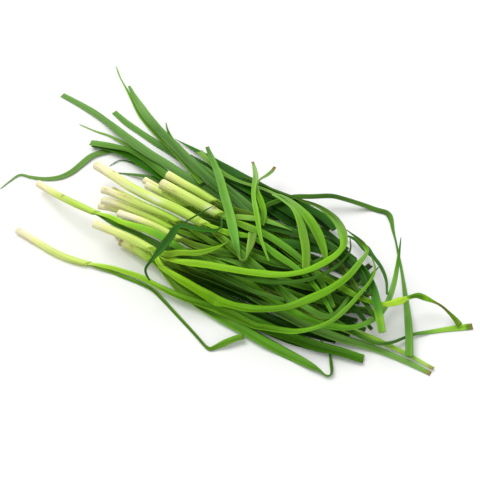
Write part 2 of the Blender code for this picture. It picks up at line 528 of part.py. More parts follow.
def share_shank(lines):
    """Give the lines of one plant the same shank and let each leaf leave it smoothly."""
    first = lines[0]
    at = np.arange(0.0, first["start"] + 1e-6, STEP)
    plans = []
    heights = []
    for line in lines:
        s = line["s"] * first["start"] / line["start"]
        plans.append(np.column_stack([np.interp(at, s, line["plan"][:, k]) for k in (0, 1)]))
        heights.append(np.interp(at, s, line["z"]))
    plan = np.mean(plans, axis=0)
    height = np.max(heights, axis=0)
    for index, line in enumerate(lines):
        s = line["s"] * first["start"] / line["start"]
        end_plan = np.column_stack([np.interp(s, at, plan[:, k]) for k in (0, 1)])
        own_plan = line["plan"]
        fade = np.where(s <= at[-1], 1.0, np.clip(1.0 - (s - at[-1]) / THROAT_FADE, 0.0, 1.0) ** 2)
        at_end = np.array([np.interp(at[-1], s, own_plan[:, k]) for k in (0, 1)])
        shift = np.where((s <= at[-1])[:, None], end_plan - own_plan, (plan[-1] - at_end)[None, :])
        line["plan"] = own_plan + fade[:, None] * shift
        z_end = np.interp(at[-1], s, line["z"])
        lift = np.where(s <= at[-1], np.interp(s, at, height) - line["z"], height[-1] - z_end)
        line["z"] = line["z"] + fade * lift
        stack = (index - (len(lines) - 1) / 2) * LEAF_STACK
        after = np.clip(1.0 - (s - at[-1]) / OFFSET_FADE, 0.0, 1.0)
        in_leaf = line["s"] > line["start"] - LEAF_ROOT_DEPTH - STEP
        line["z"] = line["z"] + np.where(in_leaf, stack * after, 0.0)
    first["shank_line"] = {"plan": plan, "z": height, "s": at}


def frame_of(centre, left, roll):
    """Across and facing directions of each section, square to the line."""
    along = np.gradient(centre, axis=0)
    along /= np.linalg.norm(along, axis=1)[:, None]
    level = np.column_stack([left, np.zeros(len(left))])
    level -= (level * along).sum(axis=1)[:, None] * along
    level /= np.linalg.norm(level, axis=1)[:, None]
    up = np.cross(along, level)
    turn_cos, turn_sin = np.cos(roll)[:, None], np.sin(roll)[:, None]
    return level * turn_cos + up * turn_sin, up * turn_cos - level * turn_sin


def pick_stations(curves, tolerance):
    """Indices of the fewest samples whose chords stay within tolerance of every curve."""
    count = len(curves[0])
    picked = [0]
    while picked[-1] < count - 1:
        here = picked[-1]
        best = here + 1
        for ahead in range(here + 2, count):
            share = np.linspace(0.0, 1.0, ahead - here + 1)[:, None]
            chords = [c[here] + share * (c[ahead] - c[here]) for c in curves]
            if max(np.abs(c[here:ahead + 1] - chord).max() for c, chord in zip(curves, chords)) > tolerance:
                break
            best = ahead
        picked.append(best)
    return np.array(picked)


def loft(rings):
    """Closed solid through rings of equal count, cut alike on opposite sides, not below the surface."""
    count = len(rings[0])
    vertices = np.vstack(rings)
    vertices[:, 2] = np.maximum(vertices[:, 2], 0.0)
    faces = [tuple(range(count))[::-1]]
    for k in range(len(rings) - 1):
        a, b = k * count, (k + 1) * count
        for i in range(count):
            j = (i + 1) % count
            if i < count / 2:
                faces += [(a + i, a + j, b + j), (a + i, b + j, b + i)]
            else:
                faces += [(a + i, a + j, b + i), (a + j, b + j, b + i)]
    faces.append(tuple((len(rings) - 1) * count + i for i in range(count)))
    return vertices, faces


def blade_solid(line):
    """A strap leaf from its root in the sheath, or from its end, as a thin box section along its line."""
    keep = line["s"] >= (line["start"] - LEAF_ROOT_DEPTH if line["start"] else 0.0)
    centre = np.column_stack([line["plan"], line["z"]])
    left = sideways(line["plan"], line["s"])
    across, facing = frame_of(centre, left, line["roll"])
    half = np.where(line["s"] < line["start"], np.interp(line["start"] + STEP, line["s"], line["half"]),
                    line["half"])
    centre, across, facing, half = centre[keep], across[keep], facing[keep], half[keep]
    edges = [centre + across * half[:, None], centre - across * half[:, None]]
    at = pick_stations(edges, FACET_ERROR)
    side = across[at] * half[at, None]
    deep = facing[at] * LEAF_THICKNESS / 2
    corners = [centre[at] + side + deep, centre[at] - side + deep,
               centre[at] - side - deep, centre[at] + side - deep]
    return loft([np.array([c[k] for c in corners]) for k in range(len(at))])


def tube_solid(line, radius, first, last):
    """Round shank or sheath between two lengths along its line, with a flat side underneath."""
    s = line["s"]
    stations = np.linspace(first, last, max(2, int((last - first) / STEP)))
    centre = np.column_stack([np.interp(stations, s, line["plan"][:, 0]),
                              np.interp(stations, s, line["plan"][:, 1]),
                              np.interp(stations, s, line["z"])])
    left = sideways(centre[:, :2], stations)
    across, facing = frame_of(centre, left, np.zeros(len(left)))
    at = pick_stations([centre], SHANK_STATIONS_ERROR)
    angles = (np.arange(TUBE_SIDES) + 0.5) * 2 * np.pi / TUBE_SIDES
    corner = radius / np.cos(np.pi / TUBE_SIDES)
    side = corner * np.cos(angles)[:, None]
    rise = corner * np.sin(angles)[:, None]
    return loft([centre[k] + side * across[k] + rise * facing[k] for k in at])


def add_solid(name, solid, shift, collection):
    """Adds one closed solid, moved by shift and scaled to metres."""
    vertices, faces = solid
    mesh = bpy.data.meshes.new(name)
    mesh.from_pydata(((vertices + shift) / MM_PER_METRE).tolist(), [], faces)
    mesh.validate()
    piece = bpy.data.objects.new(name, mesh)
    collection.objects.link(piece)
    return piece


def give_material(piece, colour, roughness):
    material = bpy.data.materials.new(piece.name)
    material.use_nodes = True
    shader = material.node_tree.nodes["Principled BSDF"]
    shader.inputs["Base Color"].default_value = colour
    shader.inputs["Roughness"].default_value = roughness
    shader.inputs["Metallic"].default_value = 0.0
    piece.data.materials.clear()
    piece.data.materials.append(material)


def fused(name, solids, shift, collection, cutters):
    """One body from overlapping solids."""
    body = add_solid(name, solids[0], shift, collection)
    if len(solids) == 1:
        return body
    others = [add_solid(name + "_joined", solid, shift, cutters) for solid in solids[1:]]
    join = body.modifiers.new("Join", "BOOLEAN")
    join.operation = "UNION"
    join.operand_type = "COLLECTION"
    join.collection = cutters
    join.solver = "EXACT"
    graph = bpy.context.evaluated_depsgraph_get()
    graph.update()
    whole = bpy.data.meshes.new_from_object(body.evaluated_get(graph))
    body.modifiers.clear()
    body.data = whole
    for other in others:
        bpy.data.objects.remove(other)
    return body


def main():
    for thing in list(bpy.data.objects):
        bpy.data.objects.remove(thing)
    bunch = bpy.data.collections.new("garlic_chive_bunch")
    cutters = bpy.data.collections.new("joined")
    bpy.context.scene.collection.children.link(bunch)
    bpy.context.scene.collection.children.link(cutters)

    pile = Pile()
    bodies = []
    for piece in PIECES:
        lines = lay_piece(piece, pile)
        solids = [blade_solid(line) for line in lines]
        if not piece["shank"]:
            bodies.append((piece["name"], solids, piece["colour"], LEAF_ROUGHNESS))
            continue
        shank = lines[0]["shank_line"]
        length = shank["s"][-1]
        radius = piece["width"] / 2
        pale = tube_solid(shank, radius, 0.0, length - SHEATH_LENGTH - SHEATH_SEAM)
        sheath = tube_solid(shank, radius, length - SHEATH_LENGTH, length)
        bodies.append(("shank_" + piece["name"], [pale], PALE, SHANK_ROUGHNESS))
        bodies.append(("leaves_" + piece["name"], [sheath] + solids, piece["colour"], LEAF_ROUGHNESS))

    every = np.vstack([solid[0] for body in bodies for solid in body[1]])
    low, high = every.min(axis=0), every.max(axis=0)
    shift = -np.array([(low[0] + high[0]) / 2, (low[1] + high[1]) / 2, low[2]])
    for name, solids, colour, roughness in bodies:
        body = fused(name, solids, shift, bunch, cutters)
        give_material(body, colour, roughness)


main()
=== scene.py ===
"""Looks of the garlic chive bunch: every plant and loose leaf as fine, curved surfaces round its solid.

The routes and the way the pieces are laid on one another are the same as in the part's source, so that
each fine piece lies where its solid does.
"""

import bpy
import numpy as np
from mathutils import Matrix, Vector


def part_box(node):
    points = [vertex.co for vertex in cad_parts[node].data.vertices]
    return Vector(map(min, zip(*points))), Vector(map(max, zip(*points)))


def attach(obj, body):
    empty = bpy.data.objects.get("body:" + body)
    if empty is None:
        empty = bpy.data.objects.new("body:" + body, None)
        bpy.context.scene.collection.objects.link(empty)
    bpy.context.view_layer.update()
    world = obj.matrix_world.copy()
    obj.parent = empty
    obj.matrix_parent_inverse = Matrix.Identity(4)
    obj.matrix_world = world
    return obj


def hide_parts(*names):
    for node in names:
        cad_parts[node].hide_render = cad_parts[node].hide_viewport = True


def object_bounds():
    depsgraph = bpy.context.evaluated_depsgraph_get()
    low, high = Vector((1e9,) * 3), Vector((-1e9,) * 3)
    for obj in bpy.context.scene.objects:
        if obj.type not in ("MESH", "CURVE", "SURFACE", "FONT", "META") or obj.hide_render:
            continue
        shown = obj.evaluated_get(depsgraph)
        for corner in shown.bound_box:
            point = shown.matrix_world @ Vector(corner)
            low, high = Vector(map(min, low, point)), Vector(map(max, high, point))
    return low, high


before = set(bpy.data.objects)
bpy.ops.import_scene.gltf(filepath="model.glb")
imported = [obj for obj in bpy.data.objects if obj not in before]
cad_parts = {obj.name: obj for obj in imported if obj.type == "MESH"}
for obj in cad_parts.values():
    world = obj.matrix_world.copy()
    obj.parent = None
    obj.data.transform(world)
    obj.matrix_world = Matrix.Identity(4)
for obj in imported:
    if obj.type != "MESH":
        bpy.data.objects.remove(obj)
cad_low, cad_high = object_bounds()

# Sight: the photograph is 480 pixels square and looks along +Y, down at the table.
PHOTO_SIDE = 480
MM_PER_PIXEL = 0.65
SIGHT_ELEVATION = np.radians(50.0)
SIGHT_DISTANCE = 750.0
SENSOR = 36.0

# Light: a white sky and one wide, far softbox from above and behind.
SKY_STRENGTH = 0.78
KEY_DIRECTION = (-0.45, 0.3, 1.0)
KEY_STRENGTH = 1.5
KEY_SPREAD = 40.0
FLOOR_SIDE = 6.0

# Sizes of the laying, in millimetres.
LEAF_THICKNESS = 0.8
GAP = 0.5
CELL = 0.6
FIELD_HALF = 200.0
STEP = 1.25
ACROSS_STEP = 1.0

# Where a leaf leaves its shank: depth of its root in the sheath, room between leaves of one plant, and
# lengths over which the leaves part and over which they keep clear of each other.
LEAF_ROOT_DEPTH = 8.0
LEAF_STACK = 1.0
OFFSET_FADE = 9.0
THROAT_FADE = 34.0
OWN_CLEARANCE = 18.0
ROLL_FADE = 12.0
SELF_APART = 14.0

# How stiffly a strip lies: radius it droops with over an edge, and length its height is softened over.
DROOP_RADIUS = 75.0
SOFTEN = 4.0

# How a strip rolls on its bends: its bank grows with curvature times BANK_LENGTH. Where its half width
# times curvature passes the share TIGHT_TURN it stands on edge.
BANK_LENGTH = 14.0
BANK_REACH = 13.0
TURN_REACH = 3.0
TIGHT_TURN = 0.7
PLAN_REACH = 2.5

# Rounds of laying: height and plan place depend on one another through the sight.
LAY_ROUNDS = 7
LAY_SHARE = 0.5
FIRST_HEIGHT = 2.0
SHANK_SAMPLES = 40

# Least half width of a strip, a height under everything, and a length too small to count.
LEAST_HALF_WIDTH = 0.5
LOWEST = -1e9
TINY = 1e-6
MM_PER_METRE = 1000.0

# Shares of a leaf's length and width, and the powers that its outline follows.
THROAT_SHARE = 0.16
THROAT_WIDTH = 0.6
THROAT_POWER = 0.7
POINT_SHARE = 0.4
POINT_POWER = 0.65
TAPER_FROM = 0.55
TAPER_LOSS = 0.55
TAPER_POWER = 1.5
CUT_FROM = 0.6
CUT_LOSS = 0.15

# Fine surfaces, in millimetres and radians. Waves are (height, length for a radian, turn by leaf).
BLADE_POINTS = 9
SHANK_SIDES = 24
SHANK_PATH_POINTS = 60
ROOT_CURL = 1.7
LEAF_CURL = 0.62
CURL_FADE = 26.0
CURL_WAVE = (0.35, 23.0, 1.0)
MARGIN_WAVES = [(0.035, 11.0, 1.7), (0.02, 4.3, 2.9)]
KEEL_DEPTH = 0.36
KEEL_WIDTH = 0.16
KEEL_HALF_WIDTH = 2.5
EDGE_SHARPNESS = 6
LEAST_EDGE = 0.02
NARROW_THICKNESS = 0.45
FULL_THICKNESS_WIDTH = 4.0
POINT_HALF_WIDTH = 0.18
POINT_LENGTH = 9.0
POINT_ROUNDNESS = 0.8
CUT_END_LENGTH = 0.5
RAGGED_CUT = 0.35
RAGGED_WAVES = 9.0
RAGGED_TURN = 2.1

# Shanks: ribs, a fuller foot, and a narrower, flatter and slanted mouth. FROM values are shares of length.
LEAST_RINGS = 8
FIRST_RING = 0.15
SECOND_RING = 0.5
SHANK_RIB_DEPTH = 0.022
SHANK_RIBS = 11
FOOT_FLARE = 0.05
FOOT_LENGTH = 9.0
NARROW_FROM = 0.75
NARROW_LOSS = 0.1
NARROW_POWER = 1.5
FLAT_FROM = 0.7
FLAT_LOSS = 0.18
SLANT_FROM = 0.8
MOUTH_SLANT = 2.4

# Marks: growth runs from 0, a white foot, to 1, a grown leaf, and tone from 0, dark, to 1, bright. Tone is
# partly a leaf's own tone and partly painted shade and painted highlight. A leaf with no tone of its own
# takes one that turns with its order, kept low as painted shade for the leaves inside the pile.
MOUTH_GROWTH = 0.36
LOOSE_GROWTH = 0.85
GREENING_LENGTH = 60.0
SHANK_TONE = 0.78
# Painted shade: a shank's sides are darker than its top and bottom, so it reads round and dark between
# shanks.
PAINTED_SIDE_SHADE = 0.4
LEAF_TONE = 0.29
LEAF_TONE_SPREAD = 0.3
TONE_TURN = 2.399
LEAF_BLOOM = 0.02
UNDERSIDE_BLOOM = 0.1
DRY_END = 0.35
DRY_END_LENGTH = 1.0

# A cut end's rings from its middle out: share of the radius, depth below the rim in mm, and how browned.
CUT_INSET = [0.12, 0.36, 0.42, 0.66, 0.72, 0.93, 0.99]
CUT_SINK = [0.5, 0.35, 0.7, 0.3, 0.55, 0.05, 0.0]
CUT_BROWN = [0.55, 0.3, 0.7, 0.3, 0.6, 0.45, 0.3]

# Patterns: patches about 18 mm and grain about 2.5 mm across in the world, streaks across and along a leaf.
PATCH_SCALE = 55.0
PATCH_DETAIL = 3.0
PATCH_GROWTH = 0.2
GRAIN_SCALE = 420.0
GRAIN_DETAIL = 4.0
STREAK_SCALE = 3.0
STREAK_DETAIL = 2.0
STREAK_ALONG = 0.012
STREAK_GROWTH = 0.16
STREAK_CONTRAST = 0.9
VEIN_TURNS = 28.0
VEIN_CONTRAST = 0.07
VEIN_RELIEF = 0.5
# Painted shade across a leaf: one half lighter than the other, as a keeled leaf lit from one side, and the
# middle darker than the margins, as a crease in shadow.
PAINTED_HALF_SHADE = 0.18
PAINTED_CHANNEL_SHADE = 0.3
DARKEST_TONE = 0.35
TONE_SPREAD = 0.95
BROWN_FROM = 0.55
BROWN_GAIN = 2.0

# Surface of the cuticle.
LEAST_ROUGHNESS = 0.34
ROUGHNESS_SPREAD = 0.2
RELIEF_STRENGTH = 0.25
RELIEF_HEIGHT = 0.0002
LEAF_IOR = 1.3
LEAF_SPECULAR = 0.27
BLOOM_COLOUR = "#8FB26A"
PAPER_COLOUR = "#E8E8D2"
DRY_COLOUR = "#94703A"
FLOOR_COLOUR = "#F4F4F3"
FLOOR_ROUGHNESS = 0.8
SKY_COLOUR = "#FFFFFF"

SHANK = "shank_pale"
GREEN = "leaf_green"
LIME = "leaf_lime"
DARK = "leaf_dark"
GREY_GREEN = "leaf_grey_green"

# How single leaves differ, by piece and by leaf. Each mark is one value or (share of the length, value)
# pairs, and age is added to growth. For a shank, shank_age is added to its growth, and spots is a list of
# (length from its foot, angle round it, reach along, reach round, papery, brown).
# Tone along a leaf is partly its own and partly painted: painted shade where a leaf folds back, turns away
# or lies deep in the pile, and painted highlight on lit bends.
LOOKS = {
    "leaf_top_left": {0: {"tone": [(0, 0.62), (0.25, 0.5), (0.45, 0.42), (1, 0.3)], "bloom": [(0, 0.3),
        (0.5, 0.15), (0.8, 0.0)]}},
    "leaf_second_left": {0: {"tone": [(0, 0.68), (0.2, 0.6), (0.35, 0.4), (1, 0.3)], "bloom": [(0, 0.15),
        (0.5, 0.1), (0.8, 0.0)]}},
    "leaf_fourth_left": {0: {"tone": [(0, 0.6), (0.1, 0.72), (0.25, 0.32), (0.45, 0.26), (1, 0.2)],
        "bloom": [(0, 0.2), (0.12, 0.45), (0.25, 0.1), (0.45, 0.1), (0.6, 0.0)]}},
    "leaf_thin_point": {0: {"tone": 0.8, "bloom": 0.1}},
    "leaf_pale_tip": {0: {"tone": 0.9, "bloom": 0.4}},
    "leaf_wavy_tip": {0: {"tone": [(0, 0.75), (0.35, 0.6), (0.6, 0.8), (1, 0.3)], "bloom": [(0, 0.5),
        (0.5, 0.35)]}},
    "leaf_blunt": {0: {"tone": [(0, 0.8), (0.3, 0.6)], "bloom": [(0, 0.3), (0.3, 0.1)]}},
    "leaf_low_tip": {0: {"tone": 0.9, "bloom": 0.2}},
    "leaf_dark_wide": {0: {"tone": [(0, 0.9), (0.3, 0.9), (0.5, 0.4)], "bloom": 0.0, "age": -0.1}},
    "leaf_back_rim": {0: {"tone": [(0, 1.0), (0.2, 0.7), (0.5, 0.5), (1, 0.6)], "bloom": 0.0,
        "age": [(0, -0.3), (0.2, 0)]}},
    "leaf_rear_wide": {0: {"tone": [(0, 0.95), (0.4, 0.8), (1, 0.4)], "bloom": 0.0}},
    "leaf_rear_low": {0: {"tone": [(0, 0.6), (1, 0.3)], "bloom": 0.0}},
    "leaf_front_turned": {0: {"tone": [(0, 0.3), (0.1, 0.68), (0.5, 0.7), (0.7, 0.9), (0.78, 0.35),
        (0.85, 0.45)], "bloom": [(0, 0.15), (0.3, 0.0)], "age": [(0, 0), (0.2, -0.25), (0.6, -0.38),
        (0.72, -0.2), (0.82, -0.5)]}},
    "leaf_back_turned": {0: {"tone": [(0, 0.75), (0.15, 0.5), (0.5, 0.7), (0.68, 0.75), (0.8, 0.55),
        (1, 0.5)], "bloom": [(0, 0.4), (0.2, 0.2), (0.45, 0.5), (0.6, 0.3), (0.7, 0.0)]}},
    "leaf_back_down": {0: {"tone": [(0, 0.5), (0.5, 0.62), (0.7, 0.9)], "bloom": [(0, 0.05), (0.6, 0.1),
        (0.8, 0.4)]}},
    "leaf_forked": {0: {"tone": [(0, 0.75), (0.2, 0.95), (0.5, 1.0), (1, 0.8)], "bloom": [(0, 0.7),
        (0.15, 0.6), (0.3, 0.2), (0.6, 0.1)], "papery": [(0, 0.0), (0.13, 0.08), (0.2, 0.0), (1, 0)],
        "brown": [(0, 0.9), (0.025, 0.8), (0.04, 0.1), (0.08, 0)]}},
    "leaf_fork_side": {0: {"tone": [(0, 0.5), (0.3, 0.6), (0.5, 0.8), (0.75, 0.75), (1, 0.4)],
        "bloom": [(0, 0.4), (0.3, 0.4), (0.45, 0.0)], "brown": [(0, 0.9), (0.04, 0.8), (0.07, 0.1),
        (0.1, 0)]}},
    "leaf_right_kinked": {0: {"tone": [(0, 0.35), (0.25, 0.05), (0.38, 0.45), (0.42, 0.1), (0.46, 0.7),
        (0.58, 0.5), (0.7, 0.8), (1, 0.95)], "bloom": [(0, 0.0), (0.35, 0.1), (0.6, 0.1), (0.7, 0.3),
        (1, 0.2)]}},
    "leaf_strap": {0: {"tone": [(0, 0.7), (0.4, 0.75), (0.5, 0.5), (0.8, 0.6), (0.84, 0.3)], "bloom": 0.0}},
    "leaf_strap_tip": {0: {"tone": 0.6, "bloom": 0.0}},
    "leaf_thin_arc": {0: {"tone": [(0, 0.75), (0.5, 0.6), (1, 0.9)], "bloom": [(0, 0.0), (1, 0.1)]}},
    "stalk_low": {0: {"tone": [(0, 0.3), (0.25, 0.55), (0.5, 0.3), (0.78, 0.12), (0.84, 0.45), (1, 0.55)],
        "bloom": 0.05, "age": [(0, 0.1), (0.2, 0.35)]}, 1: {"tone": [(0, 0.9), (0.3, 0.75), (0.55, 0.8),
        (0.64, 1.0), (0.75, 0.6), (0.92, 0.6)], "bloom": 0.06, "age": [(0, -0.16), (0.15, -0.2), (0.3, 0.0),
        (0.5, 0.3)]}, "spots": [(2.0, 1.2, 5.0, 2.0, 0.4, 0.25)], "shank_age": [(0, -0.02), (1, -0.16)]},
    "stalk_high": {0: {"tone": [(0, 0.35), (1, 0.3)], "bloom": 0.05, "age": 0.3}, 1: {"tone": [(0, 1.0),
        (0.2, 1.0), (0.3, 0.8), (0.5, 0.35), (1, 0.25)], "bloom": 0.03, "age": [(0, -0.1), (0.2, -0.15),
        (0.35, 0.1), (0.5, 0.4)]}, "spots": [(30.0, 1.6, 2.0, 0.8, 0.0, 0.6)], "shank_age": [(0, 0.0),
        (0.5, -0.04), (0.7, 0.04), (1, -0.06)]},
    "06": {0: {"tone": [(0, 0.85), (0.2, 0.75), (0.38, 0.6), (0.48, 0.5), (0.6, 0.7), (0.83, 0.72),
        (0.87, 0.85), (0.905, 0.1), (1, 0.1)], "bloom": [(0, 0.0), (0.75, 0.0), (0.86, 0.3), (0.9, 0.0)],
        "age": [(0, -0.1), (0.3, 0.1), (0.5, 0.3), (0.7, 0.1), (0.9, 0.5)]}, 1: {"tone": [(0, 0.8),
        (0.3, 0.8), (0.5, 0.9), (0.58, 0.75), (0.66, 0.35), (0.74, 0.12), (1, 0.05)], "bloom": [(0, 0.0),
        (0.55, 0.0), (0.62, 0.3), (0.68, 0.1), (0.72, 0.0)], "age": [(0, -0.1), (0.15, 0.0), (0.6, 0),
        (0.75, 0.5)]}, 2: {"tone": [(0, 0.6), (0.5, 0.5), (1, 0.7)], "bloom": 0.02},
        "shank_age": [(0, 0.02), (1, -0.14)], "spots": [(3.0, 1.5, 6.0, 3.0, 0.25, 0.0)]},
    "05": {0: {"tone": [(0, 0.5), (0.5, 0.75), (0.6, 1.0), (0.72, 0.95), (0.8, 1.0), (0.9, 0.6), (1, 0.3)],
        "bloom": [(0, 0.0), (0.6, 0.05), (0.76, 0.5), (0.84, 0.3), (0.9, 0.0)], "age": [(0, 0), (0.5, -0.2),
        (0.85, -0.3), (1, 0.2)]}, 1: {"tone": 0.9, "bloom": 0.2},
        "spots": [(4.0, 1.6, 10.0, 3.0, 0.45, 0.0)], "shank_age": -0.07},
    "07": {0: {"tone": [(0, 1.0), (0.3, 1.0), (0.6, 0.85), (0.75, 0.6), (0.82, 0.5), (0.84, 0.2),
        (1, 0.35)], "bloom": [(0, 0.3), (0.4, 0.15), (0.8, 0.05)], "age": [(0, 0), (0.2, -0.2),
        (0.7, -0.15)]}, 1: {"tone": 0.45, "bloom": 0.0}, "spots": [(1.0, 1.4, 2.0, 3.0, 0.0, 0.9),
        (11.0, 1.9, 3.0, 0.8, 0.0, 0.5)]},
    "04": {0: {"tone": [(0, 0.5), (0.4, 1.0), (0.7, 1.0), (1, 0.9)], "bloom": [(0, 0.05), (0.45, 0.4),
        (0.75, 0.45)], "age": [(0, 0), (0.6, -0.2)], "brown": [(0.965, 0), (1, 0.8)]},
        "spots": [(2.0, 1.4, 7.0, 3.0, 0.3, 0.25)], "shank_age": -0.03},
    "03": {0: {"tone": [(0, 0.8), (0.6, 1.0)], "bloom": [(0, 0.0), (0.8, 0.2), (0.95, 0.4)],
        "age": [(0, -0.6), (0.8, -0.6), (1, -0.7)], "brown": [(0.965, 0), (1, 0.8)]},
        "spots": [(3.0, 1.5, 8.0, 3.0, 0.4, 0.2)], "shank_age": [(0, -0.05), (1, 0.06)]},
    "02": {0: {"tone": [(0, 0.4), (0.7, 0.4), (0.78, 0.1), (0.84, 0.6), (0.88, 1.0), (0.975, 1.0),
        (0.985, 0.1)], "bloom": [(0, 0.0), (0.8, 0.1), (0.9, 0.3), (0.98, 0.1)], "age": [(0, 0), (0.8, 0),
        (0.9, -0.5), (1, -0.5)], "brown": [(0.98, 0), (0.99, 0.4), (1, 0.5)]},
        "spots": [(3.0, 1.9, 5.0, 0.9, 0.1, 0.4), (18.0, 1.7, 9.0, 0.5, 0.1, 0.55)], "shank_age": 0.0},
    "01": {"spots": [(1.0, 1.5, 6.0, 4.0, 0.2, 0.25), (22.0, 1.2, 3.0, 0.5, 0.0, 0.5),
        (44.0, 2.5, 14.0, 0.2, 0.75, 0.0), (62.0, 2.1, 5.0, 0.45, 0.9, 0.2)], "shank_age": -0.03,
        0: {"tone": 0.2, "bloom": 0.0}, 2: {"tone": 0.75, "bloom": 0.0}},
    "tall_01": {0: {"tone": [(0, 0.3), (0.68, 0.6), (0.72, 1.0), (0.8, 1.0), (0.82, 0.2), (0.86, 0.4),
        (0.875, 0.8), (0.9, 0.5), (0.93, 0.05), (0.96, 0.35), (1, 0.5)], "bloom": 0.0, "age": [(0, 0.3),
        (0.68, 0.0), (0.72, -0.5), (0.8, -0.55), (0.82, 0.4), (0.86, 0.0), (0.89, -0.2), (0.92, 0.5),
        (1, 0.3)], "brown": [(0.7, 0), (0.72, 0.35), (0.76, 0.2), (0.79, 0.4), (0.81, 0), (0.89, 0),
        (0.905, 0.55), (0.95, 0.3), (1, 0.3)]}, 1: {"tone": 0.4, "bloom": 0.0}, "shank_age": [(0, 0.05),
        (1, -0.02)]},
    "tall_02": {0: {"tone": 0.62, "bloom": 0.05}, 1: {"tone": 0.85, "bloom": 0.3},
        "spots": [(1.0, 1.6, 5.0, 3.0, 0.3, 0.3), (14.0, 2.3, 5.0, 0.3, 0.1, 0.45),
        (43.0, 2.0, 4.0, 0.8, 0.6, 0.1), (44.0, 1.2, 2.0, 0.7, 0.0, 0.8)], "shank_age": [(0, 0.05),
        (1, -0.02)]},
    "tall_03": {0: {"tone": [(0, 0.4), (0.7, 0.45), (0.9, 1.0)], "bloom": [(0, 0.0), (0.8, 0.0), (1, 0.1)],
        "age": [(0, 0), (0.8, 0), (0.95, -0.5)]}, "spots": [(2.0, 1.5, 6.0, 4.0, 0.4, 0.0)]},
    "under_01": {"spots": [(2.0, 1.6, 7.0, 4.0, 0.2, 0.45), (20.0, 2.2, 9.0, 0.4, 0.0, 0.4)],
        "shank_age": 0.05},
    "under_04": {"spots": [(2.0, 1.6, 6.0, 4.0, 0.4, 0.35)]},
    "under_02": {"spots": [(2.0, 1.6, 5.0, 4.0, 0.2, 0.5), (9.0, 1.4, 4.0, 0.7, 0.5, 0.2)]},
}


def leaf(route, width=6.5, tip="cut", lean=1.0, swell=((0, 1), (1, 1))):
    """One strap leaf: photograph points (x, y[, lift in mm]), width in mm, tip shape, lean on bends.

    swell gives the width's factor at shares of the leaf's length.
    """
    return {"route": route, "width": width, "tip": tip, "lean": lean, "swell": swell}


def plant(name, width, shank, leaves, colour=GREEN):
    return {"name": name, "width": width, "shank": shank, "leaves": leaves, "colour": colour}


def loose(name, blade, colour=GREEN):
    return {"name": name, "width": 0.0, "shank": [], "leaves": [blade], "colour": colour}


